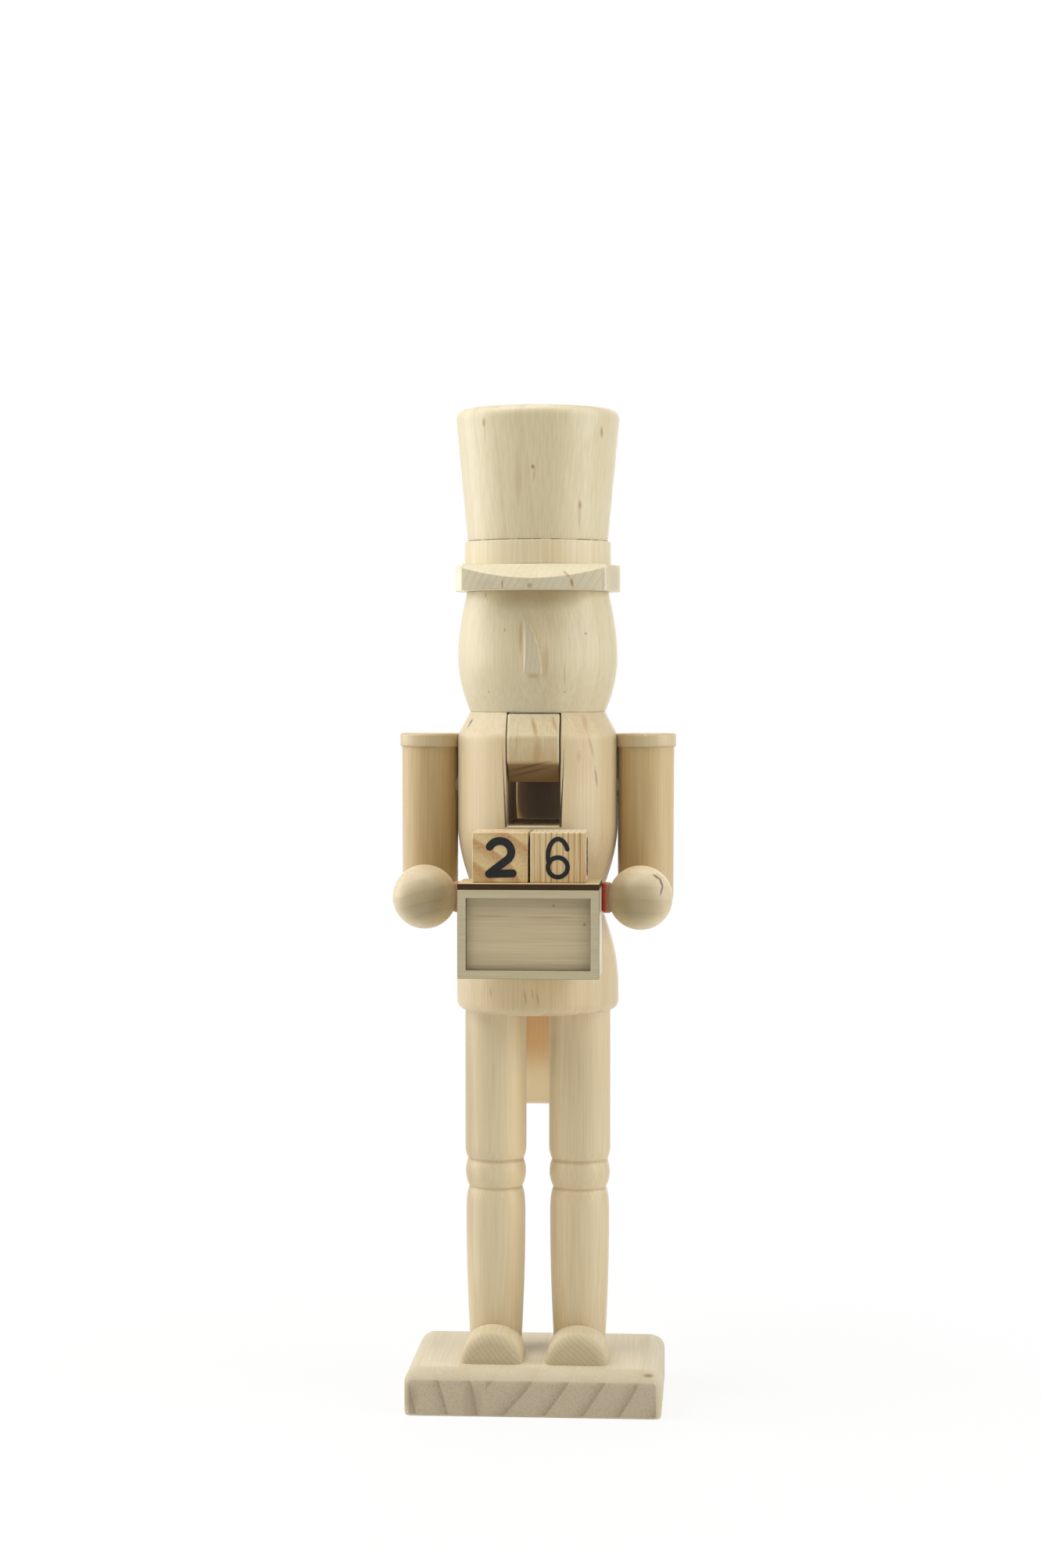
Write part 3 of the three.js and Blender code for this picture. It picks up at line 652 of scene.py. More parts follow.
    def rings(
        self,
        tree: bpy.types.NodeTree,
        parts: bpy.types.NodeOutputs,
        grain: bpy.types.Node,
        first: bpy.types.NodeSocket,
        second: bpy.types.NodeSocket,
    ) -> bpy.types.Node:
        """Adds the growth rings.

        Args:
            tree: The node tree.
            parts: The place's X, Y and Z in millimetres.
            grain: The place with the grain's direction drawn out.
            first: Place along the first direction across the grain.
            second: Place along the second one.

        Returns:
            A node that is 0 in early wood and rises to 1 in late wood.
        """
        across = add(tree, "ShaderNodeCombineXYZ", {0: first, 1: second})
        pith: object = (*self.pith, 0.0)
        if self.glue:
            left = add(tree, "ShaderNodeMath", {0: parts["X"], 1: self.glue.seam}, operation="LESS_THAN")
            pith = add(
                tree,
                "ShaderNodeMix",
                {MIX_FACTOR: left, MIX_VECTOR_A: pith, MIX_VECTOR_B: (*self.glue.pith, 0.0)},
                data_type="VECTOR",
            ).outputs[MIX_VECTOR]
        centred = add(tree, "ShaderNodeVectorMath", {0: across, 1: pith}, operation="SUBTRACT")
        noise = add(
            tree,
            "ShaderNodeTexNoise",
            {"Vector": grain, "Scale": 1 / self.WARP_MM, "Detail": self.DETAIL},
        )
        bend = add(
            tree,
            "ShaderNodeVectorMath",
            {0: noise.outputs["Color"], 1: (self.warp, self.warp, 0.0), 2: centred},
            operation="MULTIPLY_ADD",
        )
        radius = add(tree, "ShaderNodeVectorMath", {0: bend}, operation="LENGTH").outputs["Value"]
        turns = add(tree, "ShaderNodeMath", {0: radius, 1: self.ring}, operation="DIVIDE")
        saw_tooth = add(tree, "ShaderNodeMath", {0: turns}, operation="FRACT")
        rise, drop = (
            add(tree, "ShaderNodeMath", {0: saw_tooth, 1: power}, operation="POWER")
            for power in (self.ring_rise, self.RING_DROP * self.ring_rise)
        )
        return add(tree, "ShaderNodeMath", {0: rise, 1: drop}, operation="SUBTRACT")

    def long_grain(
        self,
        tree: bpy.types.NodeTree,
        grain: bpy.types.Node,
        late: bpy.types.Node,
        fibre: bpy.types.Node,
    ) -> bpy.types.NodeSocket:
        """Adds the colour of wood that is cut along the grain.

        Args:
            tree: The node tree.
            grain: The place with the grain's direction drawn out.
            late: The growth rings.
            fibre: The noise of the fibres.

        Returns:
            The colour.
        """
        streak = add(
            tree,
            "ShaderNodeTexNoise",
            {"Vector": grain, "Scale": 1 / self.STREAK_MM, "Detail": self.DETAIL},
        )
        share = add(tree, "ShaderNodeMath", {0: late, 1: self.ring_strength}, operation="MULTIPLY")
        for noise, strength in ((fibre, self.fibre_strength), (streak, self.streak_strength)):
            centred = add(tree, "ShaderNodeMath", {0: noise, 1: self.NOISE_MIDDLE}, operation="SUBTRACT")
            share = add(tree, "ShaderNodeMath", {0: centred, 1: strength, 2: share}, operation="MULTIPLY_ADD")
        share = add(tree, "ShaderNodeMath", {0: share, 1: self.LATE_SHARE}, operation="ADD", use_clamp=True)
        return add(
            tree,
            "ShaderNodeMix",
            {MIX_FACTOR: share, MIX_A: linear(self.early), MIX_B: linear(self.late)},
            data_type="RGBA",
        ).outputs[MIX_COLOUR]

    def end_grain(
        self, tree: bpy.types.NodeTree, here: bpy.types.Node, late: bpy.types.Node
    ) -> bpy.types.NodeSocket:
        """Adds the colour of wood that is cut across the grain, with its pores.

        Args:
            tree: The node tree.
            here: The place in millimetres.
            late: The growth rings.

        Returns:
            The colour.
        """
        noise = add(
            tree,
            "ShaderNodeTexNoise",
            {"Vector": here, "Scale": 1 / self.PORE_MM, "Detail": self.DETAIL},
        )
        pores = add(
            tree,
            "ShaderNodeMapRange",
            {"Value": noise, "From Min": self.PORE_FROM, "From Max": self.PORE_TO, "To Max": self.PORE_SHARE},
        )
        share = add(tree, "ShaderNodeMath", {0: late, 1: pores}, operation="ADD", use_clamp=True)
        return add(
            tree,
            "ShaderNodeMix",
            {MIX_FACTOR: share, MIX_A: linear(self.end), MIX_B: linear(self.end_late)},
            data_type="RGBA",
        ).outputs[MIX_COLOUR]

    def marks(
        self, tree: bpy.types.NodeTree, here: bpy.types.Node, colour: bpy.types.NodeSocket
    ) -> bpy.types.NodeSocket:
        """Adds the flecks and the patches of painted light and shade, each a soft-edged lens at its own
        place.

        Args:
            tree: The node tree.
            here: The place in millimetres.
            colour: The colour so far.

        Returns:
            The colour with the flecks in it.
        """
        for fleck_or_light in self.flecks_and_painted_light:
            inside = add(
                tree,
                "ShaderNodeMapping",
                {
                    "Vector": here,
                    "Location": fleck_or_light.place,
                    "Rotation": (0.0, math.radians(fleck_or_light.lean), 0.0),
                    "Scale": fleck_or_light.size,
                },
                vector_type="TEXTURE",
            )
            depth = add(tree, "ShaderNodeVectorMath", {0: inside}, operation="LENGTH").outputs["Value"]
            share = add(
                tree,
                "ShaderNodeMapRange",
                {"Value": depth, "From Min": 1 - fleck_or_light.soft, "To Min": fleck_or_light.strength, "To Max": 0.0},
                interpolation_type="SMOOTHSTEP",
            )
            colour = add(
                tree,
                "ShaderNodeMix",
                {MIX_FACTOR: share, MIX_A: colour, MIX_B: linear(fleck_or_light.colour)},
                data_type="RGBA",
            ).outputs[MIX_COLOUR]
        return colour

    def joint_line(
        self,
        tree: bpy.types.NodeTree,
        here: bpy.types.Node,
        parts: bpy.types.NodeOutputs,
        colour: bpy.types.NodeSocket,
    ) -> bpy.types.NodeSocket:
        """Adds the broken dark line where a glued joint is not quite closed.

        Args:
            tree: The node tree.
            here: The place in millimetres.
            parts: Its X, Y and Z.
            colour: The colour so far.

        Returns:
            The colour with the line in it.
        """
        above = add(tree, "ShaderNodeMath", {0: parts["Z"], 1: self.dark_joint}, operation="SUBTRACT")
        near = add(
            tree,
            "ShaderNodeMapRange",
            {
                "Value": above,
                "From Min": self.JOINT_MM / 2,
                "From Max": self.JOINT_MM,
                "To Min": 1.0,
                "To Max": 0.0,
            },
            interpolation_type="SMOOTHSTEP",
        )
        dashes = add(
            tree,
            "ShaderNodeTexNoise",
            {"Vector": here, "Scale": 1 / self.DASH_MM, "Detail": self.PLAIN_DETAIL},
        )
        open_here = add(
            tree,
            "ShaderNodeMapRange",
            {
                "Value": dashes,
                "From Min": self.DASH_FROM,
                "From Max": self.DASH_TO,
                "To Max": self.DASH_SHARE,
            },
            interpolation_type="SMOOTHSTEP",
        )
        share = add(tree, "ShaderNodeMath", {0: near, 1: open_here}, operation="MULTIPLY")
        return add(
            tree,
            "ShaderNodeMix",
            {MIX_FACTOR: share, MIX_A: colour, MIX_B: linear(self.JOINT_COLOUR)},
            data_type="RGBA",
        ).outputs[MIX_COLOUR]

    def turning_marks(self, tree: bpy.types.NodeTree, along: bpy.types.NodeSocket) -> bpy.types.Node:
        """Adds the faint rings that the turning tool leaves round a piece.

        Args:
            tree: The node tree.
            along: Place along the grain in millimetres.

        Returns:
            A node with the marks' height.
        """
        level = add(tree, "ShaderNodeCombineXYZ", {2: along})
        return add(
            tree,
            "ShaderNodeTexNoise",
            {"Vector": level, "Scale": 1 / self.TOOL_MM, "Detail": self.PLAIN_DETAIL},
        )


@dataclass(frozen=True)
class BurntPlyFinish(Finish):
    """Thin laser-cut plywood: pale faces, and edges charred to a dark brown."""

    face: str
    streak: str
    char: str
    char_streak: str
    flat: Axis
    fibre: float = 1.0

    # Places are shrunk along X, which draws the streaks out that way
    GRAIN_PULL = 0.03
    # Real plies and fibres are too fine to show, so they are drawn as coarse as they need
    PLY_MM = 0.7
    FACE_DETAIL, CHAR_DETAIL = 3.0, 2.0
    FLAT_FROM, FLAT_TO = 0.85, 0.95
    BUMP, BUMP_MM = 0.2, 0.1
    ROUGHNESS = 0.7
    SPECULAR = 0.15

    def dress(self, tree: bpy.types.NodeTree, shader: bpy.types.Node) -> None:
        """Adds char on the cut edges and bare wood on the two flat faces.

        Args:
            tree: The material's node tree.
            shader: Its shader node.
        """
        place = add(tree, "ShaderNodeTexCoord").outputs
        stretch = (self.GRAIN_PULL / MM, 1 / MM, 1 / MM)
        lie = add(tree, "ShaderNodeMapping", {"Vector": place["Object"], "Scale": stretch})
        face_noise, char_noise = (
            add(tree, "ShaderNodeTexNoise", {"Vector": lie, "Scale": 1 / size, "Detail": detail})
            for size, detail in ((self.fibre, self.FACE_DETAIL), (self.PLY_MM, self.CHAR_DETAIL))
        )
        bare, burnt = (
            add(
                tree,
                "ShaderNodeMix",
                {MIX_FACTOR: noise, MIX_A: linear(ground), MIX_B: linear(streak)},
                data_type="RGBA",
            ).outputs[MIX_COLOUR]
            for noise, ground, streak in (
                (face_noise, self.face, self.streak),
                (char_noise, self.char, self.char_streak),
            )
        )
        facing = add(tree, "ShaderNodeSeparateXYZ", {0: place["Normal"]}).outputs
        square_on = add(tree, "ShaderNodeMath", {0: facing[self.flat.value[0]]}, operation="ABSOLUTE")
        flat = add(
            tree,
            "ShaderNodeMapRange",
            {"Value": square_on, "From Min": self.FLAT_FROM, "From Max": self.FLAT_TO},
        )
        colour = add(
            tree, "ShaderNodeMix", {MIX_FACTOR: flat, MIX_A: burnt, MIX_B: bare}, data_type="RGBA"
        )
        bump = add(
            tree,
            "ShaderNodeBump",
            {"Strength": self.BUMP, "Distance": self.BUMP_MM * MM, "Height": face_noise},
        )
        tree.links.new(colour.outputs[MIX_COLOUR], shader.inputs["Base Color"])
        tree.links.new(bump.outputs[0], shader.inputs["Normal"])
        shader.inputs["Roughness"].default_value = self.ROUGHNESS
        shader.inputs["Specular IOR Level"].default_value = self.SPECULAR


@dataclass(frozen=True)
class SpeckledFinish(Finish):
    """A matt, nearly even material with a fine speckle, such as brushed paint or foam.

    It may fade to another colour away from the figure's middle plane, as foam does where glue soaks in.
    """

    colour: str
    speckle: str
    grain: float
    roughness: float
    bump: float
    specular: float = 0.5
    fade: str | None = None
    fade_from: float = 0.0
    fade_to: float = 0.0

    DETAIL = 3.0
    SPECKLE_FROM, SPECKLE_TO = 0.4, 0.75
    BUMP_MM = 0.08

    def dress(self, tree: bpy.types.NodeTree, shader: bpy.types.Node) -> None:
        """Adds the speckle, the fade and a fine relief.

        Args:
            tree: The material's node tree.
            shader: Its shader node.
        """
        place = add(tree, "ShaderNodeTexCoord").outputs["Object"]
        noise = add(
            tree,
            "ShaderNodeTexNoise",
            {"Vector": place, "Scale": 1 / (self.grain * MM), "Detail": self.DETAIL},
        )
        share = add(
            tree,
            "ShaderNodeMapRange",
            {"Value": noise, "From Min": self.SPECKLE_FROM, "From Max": self.SPECKLE_TO},
            interpolation_type="SMOOTHSTEP",
        )
        colour = add(
            tree,
            "ShaderNodeMix",
            {MIX_FACTOR: share, MIX_A: linear(self.colour), MIX_B: linear(self.speckle)},
            data_type="RGBA",
        ).outputs[MIX_COLOUR]
        if self.fade:
            parts = add(tree, "ShaderNodeSeparateXYZ", {0: place}).outputs
            off_centre = add(tree, "ShaderNodeMath", {0: parts["X"]}, operation="ABSOLUTE")
            outer = add(
                tree,
                "ShaderNodeMapRange",
                {"Value": off_centre, "From Min": self.fade_from * MM, "From Max": self.fade_to * MM},
                interpolation_type="SMOOTHSTEP",
            )
            colour = add(
                tree,
                "ShaderNodeMix",
                {MIX_FACTOR: outer, MIX_A: colour, MIX_B: linear(self.fade)},
                data_type="RGBA",
            ).outputs[MIX_COLOUR]
        bump = add(
            tree,
            "ShaderNodeBump",
            {"Strength": self.bump, "Distance": self.BUMP_MM * MM, "Height": noise},
        )
        tree.links.new(colour, shader.inputs["Base Color"])
        tree.links.new(bump.outputs[0], shader.inputs["Normal"])
        shader.inputs["Roughness"].default_value = self.roughness
        shader.inputs["Specular IOR Level"].default_value = self.specular


# Pale cream with a satin lift, a few golden resin flecks and an open joint under the crown
HAT_PINE = PineFinish(
    "turned pine, hat crown",
    early="#ded2ae",
    late="#cbb688",
    end="#d3c7a5",
    end_late="#bba984",
    pith=(-60.0, 85.0),
    ring=7.5,
    flecks_and_painted_light=(
        FleckOrPaintedLight((-18.8, -25.0, 373.5), (1.0, 8.0, 2.4), strength=0.65),
        FleckOrPaintedLight((-18.4, -25.0, 369.0), (0.5, 8.0, 6.0), strength=0.25),
        FleckOrPaintedLight((-0.1, -29.6, 356.6), (0.9, 8.0, 1.1), strength=0.9),
        FleckOrPaintedLight((0.3, -29.6, 353.5), (0.5, 8.0, 3.6), strength=0.35, lean=8.0),
        FleckOrPaintedLight((25.1, -18.0, 370.2), (0.7, 8.0, 3.0), strength=0.75),
        FleckOrPaintedLight((17.2, -23.0, 342.7), (0.8, 8.0, 2.2), strength=0.75),
        FleckOrPaintedLight((17.0, -23.0, 339.0), (0.9, 8.0, 8.0), strength=0.3),
        FleckOrPaintedLight((-5.6, -29.0, 352.0), (1.8, 8.0, 14.0), colour="#b99a62", strength=0.3),
    ),
    dark_joint=329.7,
)
# A touch lighter than the crown, with plain upright grain
BAND_PINE = PineFinish(
    "turned pine, hat band",
    early="#e5d8b4",
    late="#d2bb8c",
    end="#d3c7a5",
    end_late="#bba984",
    pith=(70.0, 50.0),
    ring=8.0,
)
# Sawn with end grain in front: a greyer visor edge with slanting rings, small golden cracks, a painted
# highlight on the left end and painted shade on the right end
BRIM_PINE = PineFinish(
    "sawn pine, hat brim",
    early="#e2d8b8",
    late="#d0be93",
    end="#d6cbae",
    end_late="#c4b794",
    grain=Axis.Y,
    pith=(120.0, 250.0),
    ring=2.6,
    ring_rise=6.0,
    cut=(0.7, 0.95),
    turning=0.0,
    specular=0.45,
    flecks_and_painted_light=(
        FleckOrPaintedLight((13.0, -36.0, 312.6), (13.0, 6.0, 5.0), colour="#d2c8aa", strength=0.6),
        FleckOrPaintedLight((26.9, -31.0, 314.0), (1.6, 8.0, 7.0), colour="#b5a88a", strength=0.5),
        # Painted highlight on the brim's left end and painted shade on its right end
        FleckOrPaintedLight((-31.0, -15.0, 315.0), (5.0, 20.0, 9.0), colour="#fbf2da", strength=0.8),
        FleckOrPaintedLight((31.0, -15.0, 315.0), (5.0, 20.0, 9.0), colour="#c0b28c", strength=0.5),
        FleckOrPaintedLight((-11.0, -36.0, 312.6), (0.5, 6.0, 2.4), strength=0.7),
        FleckOrPaintedLight((-0.8, -37.4, 312.2), (1.4, 6.0, 1.3), colour="#8f7c58", strength=0.6),
        FleckOrPaintedLight((12.8, -34.0, 316.4), (2.8, 6.0, 0.8), strength=0.6, lean=42.0),
        FleckOrPaintedLight((14.8, -35.0, 313.2), (0.9, 6.0, 2.4), strength=0.75, lean=-12.0),
        FleckOrPaintedLight((-17.0, -33.0, 312.6), (6.0, 6.0, 3.0), colour="#b5a98a", strength=0.3),
    ),
)
# Pale cream with upright grain, a painted shadow under the brim and under the nose, and glue lines beside the
# nose deepened with painted shade
HEAD_PINE = PineFinish(
    "turned pine, head",
    early="#ded2ae",
    late="#cab588",
    end="#d3c7a5",
    end_late="#bba984",
    pith=(55.0, 75.0),
    ring=8.0,
    flecks_and_painted_light=(
        # Painted shadow of the brim on the head
        FleckOrPaintedLight((0.0, -26.0, 311.0), (26.0, 12.0, 9.0), colour="#9c8154", strength=0.5),
        FleckOrPaintedLight((-18.5, -20.5, 309.0), (0.5, 8.0, 1.3), strength=0.6),
        FleckOrPaintedLight((-10.7, -28.0, 295.8), (0.5, 8.0, 1.1), colour="#8d7a55", strength=0.55),
        FleckOrPaintedLight((19.4, -23.0, 294.5), (0.8, 8.0, 0.8), colour="#8d7a55", strength=0.6),
        FleckOrPaintedLight((11.7, -28.0, 279.0), (0.4, 8.0, 6.5), strength=0.4),
        FleckOrPaintedLight((11.7, -27.0, 272.6), (0.5, 8.0, 0.7), colour="#8d7a55", strength=0.6),
        FleckOrPaintedLight((-17.0, -24.0, 272.6), (0.5, 8.0, 0.7), colour="#8d7a55", strength=0.6),
        # Painted shadow under the nose
        FleckOrPaintedLight((0.3, -30.5, 278.6), (3.0, 8.0, 1.2), strength=0.35),
        # Glue lines beside the nose, deepened with painted shade
        FleckOrPaintedLight((-4.6, -29.6, 293.0), (1.1, 8.0, 9.0), colour="#b07a28", strength=0.5),
        FleckOrPaintedLight((4.8, -30.0, 284.0), (1.8, 8.0, 9.0), colour="#a8844c", strength=0.35),
    ),
)
# End grain in front: a little greyer than the head, with a painted highlight on its left edge
NOSE_PINE = PineFinish(
    "sawn pine, nose",
    early="#d9cca9",
    late="#c3af84",
    end="#c6ba9a",
    end_late="#b9ac8a",
    grain=Axis.Y,
    pith=(-90.0, 300.0),
    ring=1.7,
    cut=(0.7, 0.95),
    turning=0.0,
    # Painted highlight along the nose's left edge
    flecks_and_painted_light=(FleckOrPaintedLight((-3.2, -33.0, 288.0), (0.7, 6.0, 14.0), colour="#fff6dc", strength=0.65),),
)
# Warmer than the head: tan with orange streaks on the right, a dark chip at the neck and painted shade in the
# mouth slot
BODY_PINE = PineFinish(
    "turned pine, torso",
    early="#dac89f",
    late="#c7aa78",
    end="#cbb993",
    end_late="#ae9468",
    pith=(50.0, 62.0),
    ring=9.0,
    flecks_and_painted_light=(
        FleckOrPaintedLight((-24.7, -12.8, 261.1), (0.7, 5.0, 1.9), colour="#4c3c2a", strength=0.9, lean=35.0),
        FleckOrPaintedLight((-25.6, -13.5, 259.6), (0.4, 5.0, 1.2), colour="#4c3c2a", strength=0.7, lean=35.0),
        FleckOrPaintedLight((19.0, -20.0, 261.0), (1.5, 8.0, 5.0), colour="#b98a58", strength=0.5, lean=-14.0),
        FleckOrPaintedLight((21.4, -21.5, 252.0), (0.8, 8.0, 7.0), colour="#b07c4c", strength=0.45, lean=-14.0),
        FleckOrPaintedLight((23.2, -20.0, 240.5), (0.5, 8.0, 5.5), colour="#8a6038", strength=0.65, lean=-7.0),
        FleckOrPaintedLight((17.0, -25.5, 248.4), (1.2, 8.0, 3.0), strength=0.3),
        FleckOrPaintedLight((17.0, -25.0, 248.0), (8.0, 10.0, 18.0), colour="#b58a50", strength=0.22),
        # Painted shade inside the mouth slot
        FleckOrPaintedLight((0.0, 4.0, 229.0), (24.0, 31.5, 14.0), colour="#86705a", strength=0.3, soft=0.5),
        FleckOrPaintedLight((-16.1, -26.6, 159.4), (0.4, 8.0, 2.8), strength=0.5, lean=-6.0),
        FleckOrPaintedLight((-2.8, -31.0, 158.2), (0.5, 8.0, 4.0), strength=0.5, lean=-8.0),
        FleckOrPaintedLight((-0.1, -31.1, 159.4), (0.4, 8.0, 3.0), strength=0.45, lean=-8.0),
        FleckOrPaintedLight((1.9, -31.0, 157.4), (0.5, 8.0, 4.0), strength=0.5, lean=-8.0),
    ),
)
# Straight upright grain, with painted light on the inside of the left leg, painted shade on its outer side
# and in the turned grooves
LEG_PINE = PineFinish(
    "turned pine, legs",
    early="#e0cfa8",
    late="#cdb07e",
    end="#cdbb95",
    end_late="#b1986b",
    pith=(0.0, 90.0),
    ring=7.0,
    flecks_and_painted_light=(
        # Painted light on the inside of the left leg
        FleckOrPaintedLight((-5.5, -7.0, 105.0), (9.5, 14.0, 80.0), colour="#fbe6b8", strength=0.85, soft=1.0),
        # Painted shade along the outer side of the left leg
        FleckOrPaintedLight((-27.0, -4.0, 105.0), (5.0, 14.0, 80.0), colour="#b89f72", strength=0.75),
        # Painted shade in the two turned grooves
        FleckOrPaintedLight((0.0, 0.0, 81.8), (80.0, 80.0, 1.0), colour="#a5803f", strength=0.35),
        FleckOrPaintedLight((0.0, 0.0, 92.55), (80.0, 80.0, 1.2), colour="#a5803f", strength=0.4),
    ),
)
# Darker and yellower than the body, with a paler rim at the shoulder
ARM_PINE = PineFinish(
    "turned pine, arms",
    early="#ceb480",
    late="#b29055",
    end="#b9a27a",
    end_late="#957a50",
    pith=(0.0, 80.0),
    ring=6.5,
    flecks_and_painted_light=(
        FleckOrPaintedLight((0.0, 0.0, 254.0), (90.0, 90.0, 3.4), colour="#d8caa8", strength=0.45, soft=0.3),
        FleckOrPaintedLight((41.6, -11.6, 256.0), (0.8, 4.0, 0.6), colour="#e6d6b0", strength=0.8),
    ),
)
# End grain in front: darker there, with faint rings and one curved crack
HAND_PINE = PineFinish(
    "turned pine, hands",
    early="#dccaa2",
    late="#c4aa7c",
    end="#b4a27a",
    end_late="#a9966e",
    grain=Axis.Y,
    pith=(60.0, -300.0),
    ring=4.2,
    warp=8.0,
    flecks_and_painted_light=(
        FleckOrPaintedLight((46.5, -39.8, 204.2), (0.45, 6.0, 2.2), colour="#4e3c28", strength=0.9, lean=-56.0, soft=0.5),
        FleckOrPaintedLight((48.2, -40.3, 202.2), (0.5, 6.0, 2.3), colour="#4e3c28", strength=0.9, lean=-21.0, soft=0.5),
        FleckOrPaintedLight((48.4, -41.2, 199.4), (0.5, 6.0, 2.6), colour="#4e3c28", strength=0.9, lean=14.0, soft=0.5),
    ),
)
# Two glued planks with end grain in front: greyish, slanting rings and hardly any gloss
BASE_PINE = PineFinish(
    "sawn pine, base",
    early="#d9cdb1",
    late="#c9b892",
    end="#c9baa0",
    end_late="#a08e77",
    grain=Axis.Y,
    pith=(-92.0, 82.0),
    ring=11.5,
    ring_rise=5.5,
    warp=2.5,
    cut=(0.93, 0.985),
    turning=0.0,
    roughness=0.65,
    specular=0.25,
    sheen=0.1,
    glue=GlueLine(seam=-17.5, pith=(-110.0, -10.0)),
    flecks_and_painted_light=(
        FleckOrPaintedLight((43.6, -33.0, 16.3), (2.8, 4.0, 0.9), colour="#94703c", strength=0.7),
        FleckOrPaintedLight((-46.5, -35.0, 7.0), (5.0, 8.0, 7.0), colour="#a48c74", strength=0.5),
        FleckOrPaintedLight((-22.5, -37.0, 5.0), (5.5, 4.0, 10.0), colour="#a39078", strength=0.3, soft=0.4),
    ),
)
# End grain in front: a soft hatch of fine rings and hardly any gloss
FOOT_PINE = PineFinish(
    "sawn pine, feet",
    early="#dccfab",
    late="#c9b487",
    end="#cebf9c",
    end_late="#bfad8b",
    grain=Axis.Y,
    pith=(90.0, 110.0),
    ring=1.6,
    warp=7.0,
    cut=(0.35, 0.85),
    roughness=0.65,
    specular=0.25,
    sheen=0.1,
    turning=0.0,
)
# Brown streaks on the jaw; painted shade under the chin and in the slot; a handle whose orange is heartwood
# and painted bounce light, with painted light at its foot
LEVER_PINE = PineFinish(
    "sawn pine, jaw lever",
    early="#dacea7",
    late="#c4a064",
    end="#cdb98e",
    end_late="#a98a58",
    pith=(3.0, 40.0),
    ring=9.0,
    turning=0.0,
    flecks_and_painted_light=(
        FleckOrPaintedLight((0.4, -29.0, 259.5), (1.2, 14.0, 5.5), colour="#a8782c", strength=0.65, lean=-16.0),
        FleckOrPaintedLight((1.6, -31.0, 249.5), (2.0, 14.0, 6.5), colour="#b08448", strength=0.55, lean=4.0),
        FleckOrPaintedLight((0.0, -31.0, 247.0), (30.0, 4.0, 7.5), colour="#b8925a", strength=0.35),
        FleckOrPaintedLight((8.0, -28.0, 260.6), (1.0, 14.0, 4.5), colour="#a8782c", strength=0.55, lean=-18.0),
        FleckOrPaintedLight((-6.0, -30.0, 254.0), (0.7, 14.0, 9.0), colour="#b57f3e", strength=0.3, lean=5.0),
        # Painted shade under the chin
        FleckOrPaintedLight((0.0, -25.0, 238.6), (60.0, 8.2, 10.4), colour="#80623a", strength=0.95, soft=0.25),
        FleckOrPaintedLight((-2.0, -28.0, 244.6), (12.0, 12.0, 0.7), colour="#3e2c18", strength=0.6, lean=-14.0),
        FleckOrPaintedLight((-2.0, -28.0, 242.4), (12.0, 12.0, 0.7), colour="#3e2c18", strength=0.6, lean=-14.0),
        # Orange heartwood on the handle, also painted warm bounce light from between the legs
        FleckOrPaintedLight((0.0, 34.0, 180.0), (60.0, 13.0, 150.0), colour="#dda65c", strength=0.72, soft=0.9),
        FleckOrPaintedLight((5.2, 32.0, 142.0), (1.4, 6.0, 30.0), colour="#a8672c", strength=0.5),
        # Painted light at the handle's foot, bounced from the floor
        FleckOrPaintedLight((0.0, 31.0, 112.0), (60.0, 8.0, 22.0), colour="#f3e6c2", strength=0.8),
        # Painted shade on the handle's front inside the slot
        FleckOrPaintedLight((0.0, 31.9, 232.0), (13.0, 3.0, 19.0), colour="#6c563e", strength=0.95, soft=0.3),
    ),
)
# Plain and even, darkened all over as painted shade for the shadowed gaps where the dowels show
DOWEL_BIRCH = PineFinish(
    "birch dowel rod, darkened as painted shade",
    early="#8f7a55",
    late="#7a6642",
    end="#8a7650",
    end_late="#74613e",
    grain=Axis.X,
    pith=(40.0, 200.0),
    ring=4.0,
)
# Flat greenish tan with hardly any grain, as a thin stain leaves it
SIDE_PLY = PineFinish(
    "stained poplar board, sign sides",
    early="#c8bd9d",
    late="#b6aa86",
    end="#b9ad8d",
    end_late="#9c9070",
    grain=Axis.X,
    pith=(-80.0, 260.0),
    ring=14.0,
    ring_strength=0.15,
    streak_strength=0.4,
    turning=0.0,
)
# Darker bare tan with level streaks and a few specks
PANEL_PLY = PineFinish(
    "bare poplar plywood, sign panel",
    early="#cebe96",
    late="#ae9871",
    end="#b0a07a",
    end_late="#8c7a56",
    grain=Axis.X,
    pith=(-40.0, 230.0),
    ring=6.0,
    turning=0.0,
    flecks_and_painted_light=(
        FleckOrPaintedLight((20.6, -55.9, 187.7), (0.9, 4.0, 0.8), colour="#6d5a40", strength=0.6),
        FleckOrPaintedLight((9.2, -55.9, 194.6), (0.8, 4.0, 0.7), colour="#7d6748", strength=0.5),
        FleckOrPaintedLight((8.0, -55.9, 190.3), (14.0, 4.0, 0.5), colour="#a87f5c", strength=0.55),
        FleckOrPaintedLight((-14.0, -55.9, 190.6), (10.0, 4.0, 0.5), colour="#a87f5c", strength=0.45),
    ),
)
# Pale on top, with edges burnt nearly black by the laser
SHELF_PLY = BurntPlyFinish(
    "laser-cut birch plywood, shelf",
    face="#d9c9a2",
    streak="#c4ad7e",
    char="#4f3922",
    char_streak="#332417",
    flat=Axis.Z,
)
# Flat greenish tan in front, with brown burnt edges; on the window's inner edges the char is also painted
# shade in the recess
FRAME_PLY = BurntPlyFinish(
    "laser-cut poplar plywood, stained frame",
    face="#d4c9aa",
    streak="#bfb38e",
    char="#6a563e",
    char_streak="#463624",
    flat=Axis.Y,
    fibre=0.7,
)
